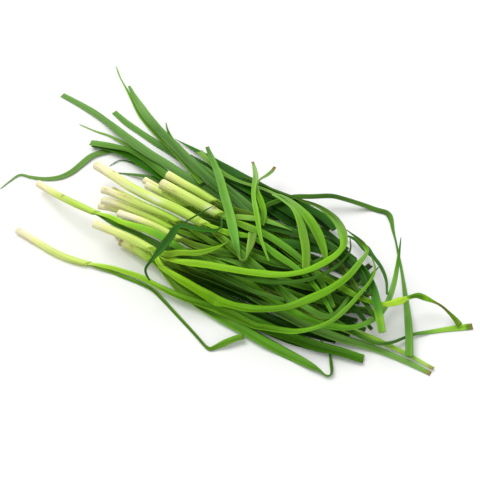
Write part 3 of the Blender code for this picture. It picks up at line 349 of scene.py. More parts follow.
# Pieces in the order they lie, the lowest first.
PIECES = [
    loose("leaf_wavy_tip", leaf([(0, 189), (10, 181), (20, 174.7), (30, 177), (45, 179), (60, 177.5),
        (72, 172), (82, 164), (92, 156), (108, 151.5), (125, 151), (145, 163), (168, 182),
        (190, 197)], 5.2, "point", 0.3), GREEN),
    loose("leaf_pale_tip", leaf([(79, 124), (95, 131), (110, 136), (130, 147), (152, 161),
        (178, 180)], 2.8, "point"), LIME),
    loose("leaf_dark_tip", leaf([(109, 166), (114, 163), (120, 160), (136, 164), (158, 176),
        (180, 188)], 2.4, "point"), DARK),
    loose("leaf_low_tip", leaf([(112, 172.5), (125, 173.5), (140, 175.5), (156, 179), (180, 190),
        (205, 205)], 3.8, "point"), DARK),
    loose("leaf_dark_wide", leaf([(93, 144), (115, 150), (130, 157), (145, 166), (158, 174), (185, 192),
        (222, 217), (262, 243), (290, 265), (308, 282)], 8.4, "cut"), DARK),
    loose("leaf_blunt", leaf([(90, 143), (108, 146), (130, 151), (145, 159), (160, 171), (180, 187),
        (200, 203)], 6.6, "cut"), GREEN),
    # The under plants fill the inside of the pile with the deep finish: partly deep green, partly painted
    # shade between the leaves.
    plant("under_01", 4.8, [(112, 190), (125, 196), (145, 206), (162, 216), (178, 227)], [
        leaf([(204, 248), (240, 268), (280, 288), (318, 303), (350, 312)], 7.6, "taper", 0.3),
        leaf([(205, 243), (242, 259), (284, 276), (324, 291), (360, 303)], 7.6, "taper", 0.3),
        leaf([(206, 239), (246, 250), (290, 264), (332, 279), (370, 296)], 7.6, "taper", 0.3),
        leaf([(206, 235), (248, 242), (294, 253), (338, 269), (374, 290)], 7.4, "taper", 0.3)], DARK),
    plant("under_02", 4.8, [(116, 234), (130, 241), (150, 252), (168, 264)], [
        leaf([(190, 285), (220, 305), (255, 325), (290, 341), (318, 350)], 7.2, "taper", 0.3),
        leaf([(192, 281), (224, 298), (262, 316), (300, 331), (336, 342)], 7.6, "taper", 0.3),
        leaf([(193, 277), (228, 290), (270, 307), (312, 323), (350, 336)], 7.6, "taper", 0.3),
        leaf([(194, 272), (232, 282), (278, 298), (324, 314), (366, 330)], 7.4, "taper", 0.3)], DARK),
    plant("under_03", 4.8, [(144, 180), (158, 188), (178, 200), (192, 209)], [
        leaf([(216, 226), (250, 234), (292, 242), (330, 254), (362, 276)], 7.4, "taper", 0.3),
        leaf([(217, 221), (252, 225), (294, 232), (332, 244), (356, 260)], 7.6, "taper", 0.3),
        leaf([(217, 216), (252, 215), (290, 220), (324, 232), (348, 250)], 7.6, "taper", 0.3),
        leaf([(216, 210), (246, 204), (278, 206), (306, 214), (330, 230)], 7.4, "taper", 0.3)], DARK),
    plant("under_04", 4.6, [(122, 214), (136, 221), (154, 232), (172, 245)], [
        leaf([(198, 268), (236, 288), (276, 308), (314, 323), (346, 334)], 7.6, "taper", 0.3),
        leaf([(200, 263), (240, 280), (282, 298), (322, 312), (358, 321)], 7.4, "taper", 0.3),
        leaf([(201, 258), (244, 272), (290, 287), (334, 301), (374, 315)], 7.4, "taper", 0.3)], DARK),
    loose("leaf_top_left", leaf([(62, 95), (78, 103.5), (94, 113), (108, 123), (122, 134.5), (137, 146),
        (150, 155), (165, 164), (180, 173.5), (200, 186), (230, 205), (262, 226), (282, 241), (300, 256),
        (313, 270)], 7.4, "cut", 1.0, [(0, 0.7), (0.1, 0.85), (0.3, 1), (1, 1)]), GREY_GREEN),
    loose("leaf_second_left", leaf([(114, 112), (126, 122.5), (138, 131), (152, 140.5), (178, 157),
        (204, 174), (236, 197), (268, 223), (292, 247), (306, 266)], 6.4, "cut", 1.0, [(0, 0.75),
        (0.15, 0.9), (0.3, 1), (1, 1)]), GREY_GREEN),
    loose("leaf_thin_point", leaf([(116, 66), (120, 77), (126, 88), (133, 101), (142, 117), (158, 136),
        (178, 156), (202, 184)], 3.6, "point", 1.0, [(0, 0.5), (0.12, 0.6), (0.3, 1.2), (1, 1)]), LIME),
    loose("leaf_fourth_left", leaf([(129, 86), (134, 96), (141.5, 109), (152, 123), (164, 136), (178, 150),
        (191, 163.5), (206, 177), (222, 191), (242, 210), (258, 230), (272, 252), (283, 274)], 7.6, "cut",
        1.0, [(0, 0.35), (0.05, 0.62), (0.12, 1.0), (1, 1.0)]), GREY_GREEN),
    loose("leaf_sprout", leaf([(166, 122), (167, 128), (170, 135), (176, 144)], 1.8, "point"), LIME),
    loose("leaf_rear_low", leaf([(207, 168), (220, 178), (236, 188.5), (255, 200), (275, 212),
        (296, 226)], 8.0, "point"), DARK),
    loose("leaf_rear_wide", leaf([(190, 154), (203, 163), (218, 172), (236, 182), (256, 193), (278, 205),
        (300, 220), (318, 238)], 8.4, "point"), DARK),
    loose("leaf_back_rim", leaf([(175, 139), (190, 147), (205, 156), (222, 167), (240, 177), (262, 189),
        (285, 200), (306, 209), (322, 218), (336, 230)], 7.8, "point"), DARK),
    plant("07", 5.0, [(120, 241.5), (128, 246), (136, 250.5), (144, 255.5), (152, 261)], [
        leaf([(160, 268), (170, 279), (182, 292), (201, 306), (222, 318), (245, 331), (262, 341),
            (285, 353), (305, 363), (319, 370.5), (328, 376), (331.5, 374), (331, 362), (328, 348),
            (319, 339)], 8.8, "point", -1.0, [(0, 0.7), (0.12, 1.0), (0.4, 1.0), (0.62, 0.9), (0.78, 0.75),
            (1, 0.6)]),
        leaf([(164, 270), (190, 288), (225, 308), (262, 326), (285, 335), (315, 346), (342, 353),
            (364, 360)], 8.4)], GREEN),
    plant("04", 4.4, [(98, 206), (108, 207.5), (118, 210), (130, 214), (144, 219), (160, 226), (176, 235)],
        [
        leaf([(200, 252), (230, 278), (262, 302), (300, 323), (335, 337), (370, 347.5), (400, 359),
            (431, 374)], 7.2, "taper"),
        leaf([(202, 249), (235, 268), (275, 289), (315, 304), (342, 309), (370, 311)], 6.6),
        leaf([(202, 246), (240, 260), (285, 277), (325, 290), (356, 296),
            (378, 306)], 6.6, "taper")], GREEN),
    plant("03", 4.8, [(101, 200.5), (110, 202), (120, 205), (130, 209), (140, 213.5), (150, 218),
        (160, 223), (172, 229.5)], [
        leaf([(196, 246), (232, 270), (275, 293), (315, 316), (350, 331), (378, 341), (406, 354),
            (434, 369)], 5.8, "taper"),
        leaf([(198, 242), (232, 257), (272, 275), (308, 290), (332, 290), (350, 281), (371, 265)], 5.4),
        leaf([(200, 239), (238, 249), (284, 266), (322, 284), (350, 304),
            (372, 330)], 6.4, "taper")], DARK),
    plant("02", 4.8, [(102, 192), (110, 194), (120, 198), (130, 202), (140, 206.5), (150, 210.5),
        (160, 214.5), (170, 219), (180, 224)], [
        leaf([(202, 237), (232, 255), (272, 280), (315, 308), (352, 332), (378, 343.5), (392, 342.5),
            (404, 338), (413, 334.5), (430, 332), (450, 329), (473, 326.5)], 4.6, "cut", 0.0, [(0, 1.2),
            (0.6, 1.0), (0.74, 0.55), (0.8, 0.5), (0.87, 0.8), (0.95, 1.1), (1, 1.15)]),
        leaf([(204, 232), (232, 243), (268, 262), (310, 282), (340, 300), (364, 297)], 6.2)], GREEN),
    loose("leaf_right_kinked", leaf([(258, 210), (276, 202), (293, 197.5), (312, 197), (332, 196.7),
        (345, 200), (362, 205.5), (378, 210.5), (387.5, 213.5), (391, 220), (393, 230), (396, 242),
        (398.5, 255), (401.5, 270), (404.5, 290), (407, 310), (409, 335), (409, 357)], 5.4, "cut", 0.0,
        [(0, 0.9), (0.2, 0.85), (0.46, 0.8), (0.49, 0.5), (0.55, 0.25), (0.66, 0.4), (0.76, 0.6),
        (0.88, 0.9), (1, 1.0)]), GREEN),
    plant("08", 4.2, [(106, 217), (118, 223), (134, 232), (152, 243), (168, 254)], [
        leaf([(190, 270), (215, 280), (248, 293), (285, 303), (318, 306)], 6.8, "taper"),
        leaf([(190, 264), (220, 272), (258, 282), (300, 297), (332, 305)], 6.8, "taper"),
        leaf([(192, 262), (232, 266), (282, 281), (330, 291), (362, 284),
            (380, 266)], 6.4, "point", -1.0)], GREEN),
    plant("05", 4.8, [(118, 213), (130, 217), (140, 220.5), (150, 224.5), (160, 229), (170, 234.5),
        (182, 241)], [
        leaf([(206, 257), (236, 276), (268, 298), (305, 318), (334, 327), (352, 328), (370, 322),
            (382, 312), (389, 300, 4), (394, 284, 8), (397, 268, 12), (399, 254, 16),
            (401, 237, 22)], 6.6, "point", -1.0),
        leaf([(208, 253), (238, 264), (268, 280), (300, 304), (330, 316), (350, 296),
            (366, 274)], 4.6, "point"),
        leaf([(208, 250), (246, 257), (290, 268), (330, 280), (358, 296),
            (376, 318)], 6.6, "taper")], GREEN),
    plant("tall_01", 5.6, [(167, 174.5), (175, 179), (185, 185), (195, 190.5), (205, 196.5), (216, 203)], [
        leaf([(244, 222), (276, 245), (310, 270), (348, 292), (370, 302), (386, 305), (398, 302.5),
            (408, 298.5), (417, 296.5), (428, 300), (437, 304), (442, 307), (449, 313.5), (454, 319),
            (460, 326)], 5.0, "cut", 0.0, [(0, 1.2), (0.6, 1.0), (0.7, 0.7), (0.74, 1.05), (0.77, 1.45),
            (0.795, 1.2), (0.815, 0.7), (0.84, 1.2), (0.87, 1.3), (0.895, 0.9), (0.92, 0.45), (0.94, 0.5),
            (0.97, 1.0), (1, 1.1)]),
        leaf([(242, 218), (264, 228), (286, 241), (304, 257), (318, 276)], 5.6, "taper"),
        leaf([(242, 214), (284, 230), (318, 250), (344, 272), (362, 298)], 6.8, "taper")], LIME),
    plant("tall_03", 4.6, [(146, 185), (155, 189.5), (165, 194.5), (176, 201), (188, 208)], [
        leaf([(212, 223), (252, 237), (300, 246), (340, 258), (362, 272), (373, 290), (378, 312),
            (382, 333)], 6.4, "cut", -1.0),
        leaf([(214, 219), (256, 226), (302, 236), (338, 252), (360, 272),
            (370, 296)], 6.8, "taper", -1.0)], DARK),
    plant("tall_02", 7.0, [(161, 184), (170, 188.5), (180, 194), (190, 199.5), (200, 205), (210, 210),
        (221, 216)], [
        leaf([(242, 226), (262, 234), (277, 242), (291, 252), (305, 264), (322, 284),
            (334, 308)], 6.2, "taper"),
        leaf([(244, 219), (260, 221), (276, 225.5), (293, 232)], 5.6, "point")], GREEN),
    plant("01", 6.2, [(97, 168), (105, 173.5), (115, 180), (125, 186.5), (140, 194.5), (155, 201.5),
        (170, 208), (190, 217.5), (206, 226)], [
        leaf([(228, 241), (250, 255), (270, 263), (294, 268), (318, 261), (338, 248)], 6.0, "point", -1.0),
        leaf([(226, 243), (250, 263), (272, 281), (290, 304)], 6.8, "taper"),
        leaf([(230, 236), (250, 240), (264, 247), (278, 257), (292, 266), (308, 279), (322, 296),
            (332, 314)], 5.2, "taper")], GREEN),
    loose("leaf_back_turned", leaf([(199, 152), (209, 162), (222, 173), (240, 182), (262, 189), (282, 198),
        (294, 206), (305, 216), (314, 228), (321, 243), (325, 256), (327, 268)], 6.2, "taper", 0.5,
        [(0, 1.6), (0.15, 1.0), (0.3, 0.45), (0.5, 0.4), (0.6, 0.8), (0.68, 1.1), (0.82, 1.15), (0.93, 0.8),
        (1, 0.35)]), LIME),
    loose("leaf_back_down", leaf([(306, 270), (306, 254), (304, 238), (300, 222), (293.5, 210), (284, 202),
        (272, 195)], 6.4, "cut", 0.3, [(0, 1.1), (0.45, 1), (0.62, 0.7), (0.8, 0.4), (1, 0.3)]), LIME),
    plant("stalk_low", 4.4, [(17, 230), (30, 238), (40, 244), (50, 250), (60, 255), (70, 259), (80, 262),
        (88, 264)], [
        leaf([(98, 267.5), (110, 271.5), (125, 277.5), (140, 283.5), (153, 290.5), (163, 300), (176, 314),
            (190, 329), (201, 341), (207, 347.5), (210, 349), (213.5, 347.8), (225, 343), (235, 339),
            (244, 336.5)], 3.0, "cut", 1.0, [(0, 1), (0.3, 0.95), (0.6, 0.85), (0.78, 0.7), (0.84, 1.2),
            (0.9, 1.8), (1, 2.0)]),
        leaf([(100, 265.5), (112, 268), (125, 272), (140, 277), (155, 285), (178, 296), (205, 305),
            (232, 314), (260, 319), (300, 324), (320, 322), (335, 316.5), (350, 305), (361, 293),
            (370, 282), (375, 270, 3), (371, 256, 6)], 6.0, "point", -1.0, [(0, 0.76), (0.18, 0.76),
            (0.3, 1.0), (1, 1.0)])], LIME),
    plant("stalk_high", 4.6, [(38, 183), (47, 189), (55, 194), (65, 199), (75, 204), (85, 208.5),
        (96, 213.5)], [
        leaf([(112, 223), (125, 229), (135, 233), (145, 238), (156, 244), (176, 254), (198, 264),
            (222, 276), (252, 290), (285, 300)], 5.0, "taper"),
        leaf([(110, 218), (120, 222), (130, 225.5), (140, 229), (150, 233), (160, 238), (176, 247),
            (200, 260), (222, 269), (252, 279), (288, 283), (318, 277), (338, 265), (350, 251),
            (350, 238)], 5.6, "point", -1.0)], GREEN),
    plant("06", 5.2, [(94, 223.5), (102, 227), (112, 231), (122, 235), (132, 239.5), (142, 244.5),
        (152, 250)], [
        leaf([(161, 267), (172, 275), (190, 286), (210, 297), (232, 305), (258, 309), (284, 308),
            (308, 300.5), (330, 290), (348, 277), (360, 263, 3), (367, 252, 7), (362, 244, 10),
            (345, 230, 8)], 7.4, "point", -1.0, [(0, 0.75), (0.12, 1), (1, 1)]),
        leaf([(170, 260), (190, 263.5), (210, 266.5), (230, 270), (256, 274), (284, 275.5), (306, 272),
            (324, 264), (337, 255, 3), (344, 246, 7), (343, 235, 10), (336, 222, 9), (322, 210, 6),
            (300, 200), (272, 189), (240, 176)], 6.0, "point", -1.0, [(0, 1), (0.62, 1), (0.72, 0.8),
            (0.82, 0.55), (1, 0.45)]),
        leaf([(166, 255), (178, 254.5), (192, 254), (205, 252), (218, 247.5),
            (230, 241)], 5.0, "point")], LIME),
    loose("leaf_thin_arc", leaf([(338, 230), (350, 236), (360, 244), (370, 254), (380, 266), (386, 280),
        (387, 295)], 5.6, "point", 1.0, [(0, 1.2), (0.4, 1.1), (0.55, 0.55), (0.8, 0.45), (1, 0.3)]), DARK),
    loose("leaf_front_turned", leaf([(207, 147), (211, 157), (216, 169), (220.5, 184), (225, 200),
        (229, 213), (232, 226), (235, 240), (238, 253), (241, 261), (245, 261), (248, 254), (251, 244),
        (253, 233)], 6.6, "cut", -1.0, [(0, 0.5), (0.12, 0.8), (0.3, 1.0), (0.7, 1.0), (0.8, 0.6),
        (1, 0.9)]), GREY_GREEN),
    loose("leaf_fork_side", leaf([(275, 167), (272, 171.5), (267, 175.5), (261, 179.5), (257, 185),
        (257, 193), (260, 201), (263, 210), (264, 219), (262, 227)], 4.4, "cut", 1.0, [(0, 0.6),
        (0.1, 0.75), (0.22, 0.6), (0.35, 0.6), (0.5, 0.9), (0.65, 1.1), (0.85, 1.0), (1, 0.6)]), LIME),
    loose("leaf_forked", leaf([(252.5, 163), (254.5, 170), (255.5, 178), (254, 187), (253.5, 195),
        (254.5, 204), (256.5, 215), (258.5, 227), (260.5, 238), (264, 249), (269, 262)], 4.0, "cut", 1.0,
        [(0, 0.65), (0.05, 0.9), (0.12, 1.1), (0.22, 1.25), (0.32, 0.85), (0.42, 0.8), (0.52, 1.05),
        (0.66, 0.95), (0.82, 0.7), (1, 0.3)]), LIME),
    loose("leaf_strap_tip", leaf([(213, 207), (200, 214), (189, 220.5), (178, 227)], 1.3, "point"), DARK),
    loose("leaf_strap", leaf([(221, 216), (221.5, 226), (217, 231), (205, 232), (190, 231), (181, 229.5),
        (176, 232), (172, 238.5), (165, 247), (158, 255), (151.5, 262), (145.5, 269.5), (146.5, 275),
        (150, 281)], 6.0, "cut", 0.3, [(0, 0.2), (0.12, 0.3), (0.2, 0.6), (0.4, 0.75), (0.52, 1.0),
        (0.74, 0.95), (0.85, 0.4), (1, 0.2)]), DARK),
]


def on_table(seen, height):
    """Plan place of points seen at photograph pixels and lying at these heights."""
    across = (seen[:, 0] - PHOTO_SIDE / 2) * MM_PER_PIXEL
    up = (PHOTO_SIDE / 2 - seen[:, 1]) * MM_PER_PIXEL
    rise = np.sin(SIGHT_ELEVATION)
    reach = np.cos(SIGHT_ELEVATION)
    share = (SIGHT_DISTANCE * rise - height) / (SIGHT_DISTANCE * rise - up * reach)
    y = share * (SIGHT_DISTANCE * reach + up * rise) - SIGHT_DISTANCE * reach
    return np.column_stack([share * across, y])


def smooth_route(points, step):
    """Centripetal Catmull-Rom curve through points (x, y, lift), sampled about every step."""
    p = np.vstack([2 * points[0] - points[1], points, 2 * points[-1] - points[-2]])
    chords = np.linalg.norm(np.diff(p[:, :2], axis=0), axis=1)
    t = np.concatenate([[0.0], np.cumsum(np.sqrt(chords))])
    pieces = [p[1:2]]
    for i in range(1, len(p) - 2):
        count = max(2, int(np.ceil(chords[i] / step)))
        s = t[i] + (t[i + 1] - t[i]) * np.arange(1, count + 1)[:, None] / count
        a = [((t[j + 1] - s) * p[j] + (s - t[j]) * p[j + 1]) / (t[j + 1] - t[j]) for j in (i - 1, i, i + 1)]
        b = [((t[j + 2] - s) * a[k] + (s - t[j]) * a[k + 1]) / (t[j + 2] - t[j])
             for k, j in enumerate((i - 1, i))]
        pieces.append(((t[i + 1] - s) * b[0] + (s - t[i]) * b[1]) / (t[i + 1] - t[i]))
    return np.vstack(pieces)


def arc_length(points):
    """Length along a polyline at each of its points."""
    return np.concatenate([[0.0], np.cumsum(np.linalg.norm(np.diff(points, axis=0), axis=1))])


def unit(values):
    """Values kept between 0 and 1."""
    return np.clip(values, 0.0, 1.0)


def late(share, start):
    """0 up to the share start of a length, then rising to 1 at its end."""
    return unit((share - start) / (1.0 - start))


def read_at(at, s, table):
    """Columns of a table that is known at lengths s, read at other lengths."""
    return np.column_stack([np.interp(at, s, column) for column in table.T])


def local_mean(values, s, reach):
    """Mean of the values near each length s, weighted by a raised cosine of this reach."""
    apart = np.abs(s[:, None] - s[None, :])
    weight = np.where(apart < reach, 1.0 + np.cos(np.pi * apart / reach), 0.0) * np.gradient(s)[None, :]
    return (weight @ values) / weight.sum(axis=1)


def settle(bound, s):
    """Heights of a stiff strip resting on the bound: it bridges dips and is never below the bound."""
    apart = s[:, None] - s[None, :]
    bridged = (bound[None, :] - apart**2 / (2.0 * DROOP_RADIUS)).max(axis=1)
    nearby = np.where(np.abs(apart) <= SOFTEN, bridged[None, :], LOWEST).max(axis=1)
    return local_mean(nearby, s, SOFTEN)


def headings(plan, s):
    """Direction in plan at each point, in radians, without jumps."""
    along = np.gradient(plan, axis=0) / np.gradient(s)[:, None]
    return np.unwrap(np.arctan2(along[:, 1], along[:, 0]))


def curvature(plan, s, reach):
    """Turn in plan for each millimetre, smoothed over reach."""
    return np.gradient(local_mean(headings(plan, s), s, reach)) / np.gradient(s)


def bank_angle(plan, s, half, lean):
    """Roll of a flat strip on its bends, in radians: tight bends stand on edge."""
    curve = curvature(plan, s, BANK_REACH)
    gentle = np.arctan(BANK_LENGTH * curve)
    sharp = curvature(plan, s, TURN_REACH)
    room = unit(TIGHT_TURN / np.maximum(np.abs(sharp) * half, TINY))
    tight = np.arccos(room) * np.sign(sharp)
    roll = np.where(np.abs(tight) > np.abs(gentle), tight, gentle)
    return local_mean(lean * roll, s, TURN_REACH * 2)


def narrowed(plan, s, half, roll):
    """Half width that a turn leaves room for: a strip is never wider in plan than its bend."""
    turn = np.abs(curvature(plan, s, TURN_REACH) * np.cos(roll))
    room = np.minimum(half, TIGHT_TURN / np.maximum(turn, TINY))
    apart = np.abs(s[:, None] - s[None, :])
    least = np.where(apart <= TURN_REACH, room[None, :], half.max()).min(axis=1)
    return np.maximum(local_mean(least, s, TURN_REACH), LEAST_HALF_WIDTH)


def leaf_half_width(s, start, blade):
    """Half width along a leaf that starts at start: a narrow throat, a full strap and its tip."""
    share = unit((s - start) / (s[-1] - start))
    swell = np.interp(share, *zip(*blade["swell"]))
    root = THROAT_WIDTH + (1.0 - THROAT_WIDTH) * unit(share / THROAT_SHARE) ** THROAT_POWER
    if start == 0.0:
        root = np.ones_like(share)
        share = 1.0 - share
    if blade["tip"] == "point":
        tip = unit((1.0 - share) / POINT_SHARE) ** POINT_POWER
    elif blade["tip"] == "taper":
        tip = 1.0 - TAPER_LOSS * late(share, TAPER_FROM) ** TAPER_POWER
    else:
        tip = 1.0 - CUT_LOSS * late(share, CUT_FROM)
    return np.maximum(blade["width"] / 2 * root * swell * tip, LEAST_HALF_WIDTH)


class Pile:
    """Height of the top of all that has been laid, on a grid in plan."""

    def __init__(self, top=None):
        count = int(2 * FIELD_HALF / CELL)
        self.top = np.full((count, count), -GAP) if top is None else top.copy()

    def cells(self, plan):
        index = np.floor((plan + FIELD_HALF) / CELL).astype(int)
        return np.clip(index, 1, len(self.top) - 2)

    def height(self, plan):
        index = self.cells(plan)
        return self.top[index[:, 0], index[:, 1]]

    def add(self, plan, height):
        index = self.cells(plan)
        for i in (-1, 0, 1):
            for j in (-1, 0, 1):
                np.maximum.at(self.top, (index[:, 0] + i, index[:, 1] + j), height)


def sideways(plan, s):
    """Level direction square to the line, to its left."""
    angle = headings(plan, s)
    return np.column_stack([-np.sin(angle), np.cos(angle)])


def section_samples(line):
    """Points across each section: plan place, rise of the middle surface there and half depth."""
    left = sideways(line["plan"], line["s"])
    count = int(np.ceil(2 * line["half"].max() / ACROSS_STEP)) + 1
    for share in np.linspace(-1.0, 1.0, count):
        offset = share * line["half"]
        flat = offset * np.cos(line["roll"])
        rise = offset * np.sin(line["roll"])
        tube = np.sqrt(np.maximum(line["tube"] ** 2 - offset**2, 0.0))
        depth = np.where(line["tube"] > 0, tube, LEAF_THICKNESS / 2)
        yield line["plan"] + flat[:, None] * left, rise, depth


def resting_bound(line, pile):
    """Least height of a line's middle that keeps it a gap above the pile."""
    bound = np.full(len(line["s"]), LOWEST)
    for plan, rise, depth in section_samples(line):
        bound = np.maximum(bound, pile.height(plan) + GAP + depth - rise)
    return bound


def own_bound(line, height):
    """Where a strip comes back over itself, its later part lies on its earlier part."""
    plan, s = line["plan"], line["s"]
    deep = line["half"] * np.abs(np.sin(line["roll"])) + LEAF_THICKNESS / 2 + line["tube"]
    apart = np.linalg.norm(plan[:, None, :] - plan[None, :, :], axis=2)
    reach = line["half"] * np.cos(line["roll"])
    meets = (s[:, None] - s[None, :] > SELF_APART) & (apart < reach[:, None] + reach[None, :] + CELL)
    return np.where(meets, (height + deep)[None, :] + GAP + deep[:, None], LOWEST).max(axis=1)


def lay_line(seen, shank_count, shank_width, blade, pile, along_pile, shank_floor):
    """Lay one shank and leaf as one line: find its plan and heights so it is seen at its pixels.

    shank_floor gives the least heights at even shares of the shank's length.
    """
    route = smooth_route(seen, STEP / MM_PER_PIXEL)
    joint = np.argmin(np.linalg.norm(route[:, :2] - seen[max(shank_count - 1, 0), :2], axis=1))
    height = np.full(len(route), FIRST_HEIGHT)
    for turn in range(LAY_ROUNDS):
        plan = on_table(route, height)
        s = arc_length(plan)
        plan = np.column_stack([local_mean(plan[:, k], s, PLAN_REACH) for k in (0, 1)])
        s = arc_length(plan)
        start = s[joint] if shank_count else 0.0
        half = leaf_half_width(s, start, blade)
        roll = bank_angle(plan, s, half, blade["lean"])
        half = np.minimum(half, narrowed(plan, s, half, roll))
        in_shank = s < start
        if shank_count:
            roll = roll * unit((s - start) / ROLL_FADE)
        line = {"plan": plan, "s": s, "start": start, "roll": roll,
                "half": np.where(in_shank, shank_width / 2, half),
                "tube": np.where(in_shank, shank_width / 2, 0.0)}
        bound = resting_bound(line, pile)
        if shank_floor is not None:
            shares = np.linspace(0.0, 1.0, len(shank_floor))
            least = np.interp(s / start, shares, shank_floor)
            bound = np.where(in_shank, np.maximum(bound, least), bound)
        beyond = s > start + OWN_CLEARANCE
        bound = np.where(beyond, np.maximum(bound, resting_bound(line, along_pile)), bound)
        bound = np.maximum(bound, route[:, 2] + LEAF_THICKNESS / 2)
        bound = np.maximum(bound, own_bound(line, height))
        found = settle(bound, s)
        height = found if turn == LAY_ROUNDS - 1 else height + LAY_SHARE * (found - height)
    line["z"] = height
    return line


def write_top(line, pile, after):
    """Raise the pile to the top of a line beyond a length along it."""
    keep = line["s"] >= after
    for plan, rise, depth in section_samples(line):
        pile.add(plan[keep], (line["z"] + rise + depth)[keep])


def lay_piece(piece, pile):
    """Lay a plant or a loose leaf; returns its lines, with the shank shared by its leaves.

    A plant is laid twice: the second time its shank starts at the height that its highest leaf needs.
    """
    shank = [(x, y, 0.0) for x, y in piece["shank"]]
    floor = None
    for _ in range(2 if shank else 1):
        along_pile = Pile(pile.top)
        lines = []
        for blade in piece["leaves"]:
            points = [tuple(p) + (0.0,) * (3 - len(p)) for p in blade["route"]]
            seen = np.array(shank + points)
            line = lay_line(seen, len(shank), piece["width"], blade, pile, along_pile, floor)
            write_top(line, along_pile, line["start"] + OWN_CLEARANCE if shank else 0.0)
            lines.append(line)
        if shank:
            floor = shank_heights(lines)
    if shank:
        share_shank(lines)
    for line in lines:
        write_top(line, pile, 0.0)
    return lines


def shank_heights(lines):
    """Highest of the lines' heights at even shares of their shank."""
    shares = np.linspace(0.0, 1.0, SHANK_SAMPLES)
    return np.max([np.interp(shares * line["start"], line["s"], line["z"]) for line in lines], axis=0)


def share_shank(lines):
    """Give the lines of one plant the same shank and let each leaf leave it smoothly."""
    first = lines[0]
    at = np.arange(0.0, first["start"] + TINY, STEP)
    plans = []
    heights = []
    for line in lines:
        s = line["s"] * first["start"] / line["start"]
        plans.append(read_at(at, s, line["plan"]))
        heights.append(np.interp(at, s, line["z"]))
    plan = np.mean(plans, axis=0)
    height = np.max(heights, axis=0)
    for index, line in enumerate(lines):
        s = line["s"] * first["start"] / line["start"]
        end_plan = read_at(s, at, plan)
        own_plan = line["plan"]
        fade = np.where(s <= at[-1], 1.0, unit(1.0 - (s - at[-1]) / THROAT_FADE) ** 2)
        at_end = read_at(at[-1:], s, own_plan)[0]
        shift = np.where((s <= at[-1])[:, None], end_plan - own_plan, (plan[-1] - at_end)[None, :])
        line["plan"] = own_plan + fade[:, None] * shift
        z_end = np.interp(at[-1], s, line["z"])
        lift = np.where(s <= at[-1], np.interp(s, at, height) - line["z"], height[-1] - z_end)
        line["z"] = line["z"] + fade * lift
        stack = (index - (len(lines) - 1) / 2) * LEAF_STACK
        after = unit(1.0 - (s - at[-1]) / OFFSET_FADE)
        in_leaf = line["s"] > line["start"] - LEAF_ROOT_DEPTH - STEP
        line["z"] = line["z"] + np.where(in_leaf, stack * after, 0.0)
    first["shank_line"] = {"plan": plan, "z": height, "s": at}


def frame_of(centre, left, roll):
    """Across and facing directions of each section, square to the line."""
    along = np.gradient(centre, axis=0)
    along /= np.linalg.norm(along, axis=1)[:, None]
    level = np.column_stack([left, np.zeros(len(left))])
    level -= (level * along).sum(axis=1)[:, None] * along
    level /= np.linalg.norm(level, axis=1)[:, None]
    up = np.cross(along, level)
    turn_cos, turn_sin = np.cos(roll)[:, None], np.sin(roll)[:, None]
    return level * turn_cos + up * turn_sin, up * turn_cos - level * turn_sin


def leaf_frame(line):
    """Centre, across and facing directions of a leaf's sections."""
    centre = np.column_stack([line["plan"], line["z"]])
    return centre, *frame_of(centre, sideways(line["plan"], line["s"]), line["roll"])


def grid_faces(rows, columns, first):
    """Quads of a grid of rows by columns, closed round each row."""
    r, c = np.meshgrid(np.arange(rows - 1), np.arange(columns), indexing="ij")
    a = first + r * columns + c
    b = first + r * columns + (c + 1) % columns
    return np.stack([a, b, b + columns, a + columns], axis=-1).reshape(-1, 4)


def placed(name, data):
    """Adds an object with this data to the scene."""
    thing = bpy.data.objects.new(name, data)
    bpy.context.scene.collection.objects.link(thing)
    return thing


class Surface:
    """Collects closed grids of points, in millimetres, each with the marks that its material reads."""

    MARKS = ("growth", "tone", "bloom", "papery", "brown", "across", "along")

    def __init__(self):
        self.points = []
        self.faces = []
        self.marks = []
        self.count = 0

    def add(self, rings, **marks):
        """rings is (rows, columns, 3), closed round each row. A point at the middle closes each end."""
        rows, columns = rings.shape[:2]
        first = self.count
        ends = np.stack([rings[0].mean(axis=0), rings[-1].mean(axis=0)])
        self.points.append(np.vstack([rings.reshape(-1, 3), ends]))
        full = [np.broadcast_to(np.asarray(marks.get(name, 0.0), float), (rows, columns))
                for name in self.MARKS]
        table = np.stack(full, axis=-1).reshape(-1, len(self.MARKS))
        self.marks.append(np.vstack([table, table[:columns].mean(axis=0), table[-columns:].mean(axis=0)]))
        self.faces.append(grid_faces(rows, columns, first))
        around = np.arange(columns)
        nexts = (around + 1) % columns
        start = first + rows * columns
        last = first + (rows - 1) * columns
        low = np.stack([first + nexts, first + around, np.full(columns, start)], axis=-1)
        high = np.stack([last + around, last + nexts, np.full(columns, start + 1)], axis=-1)
        self.faces += [low, high]
        self.count += rows * columns + 2

    def build(self, name, material):
        points = np.clip(np.vstack(self.points) / MM_PER_METRE, np.array(cad_low), np.array(cad_high))
        faces = [face for block in self.faces for face in block.tolist()]
        mesh = bpy.data.meshes.new(name)
        mesh.from_pydata(points.tolist(), [], faces)
        mesh.polygons.foreach_set("use_smooth", np.ones(len(faces), bool))
        marks = np.vstack(self.marks).astype(np.float32)
        for index, mark in enumerate(self.MARKS):
            mesh.attributes.new(mark, "FLOAT", "POINT").data.foreach_set("value", marks[:, index].copy())
        mesh.materials.append(material)
        mesh.update()
        return placed(name, mesh)


def share_mark(table, share):
    """A mark along a leaf, given as (share, value) pairs or one value."""
    if isinstance(table, (int, float)):
        return np.full(len(share), float(table))
    return np.interp(share, *zip(*table))


def wave(s, order, height, length, turn):
    """A gentle wave along a leaf, in another phase for each leaf."""
    return height * np.sin(s / length + order * turn)


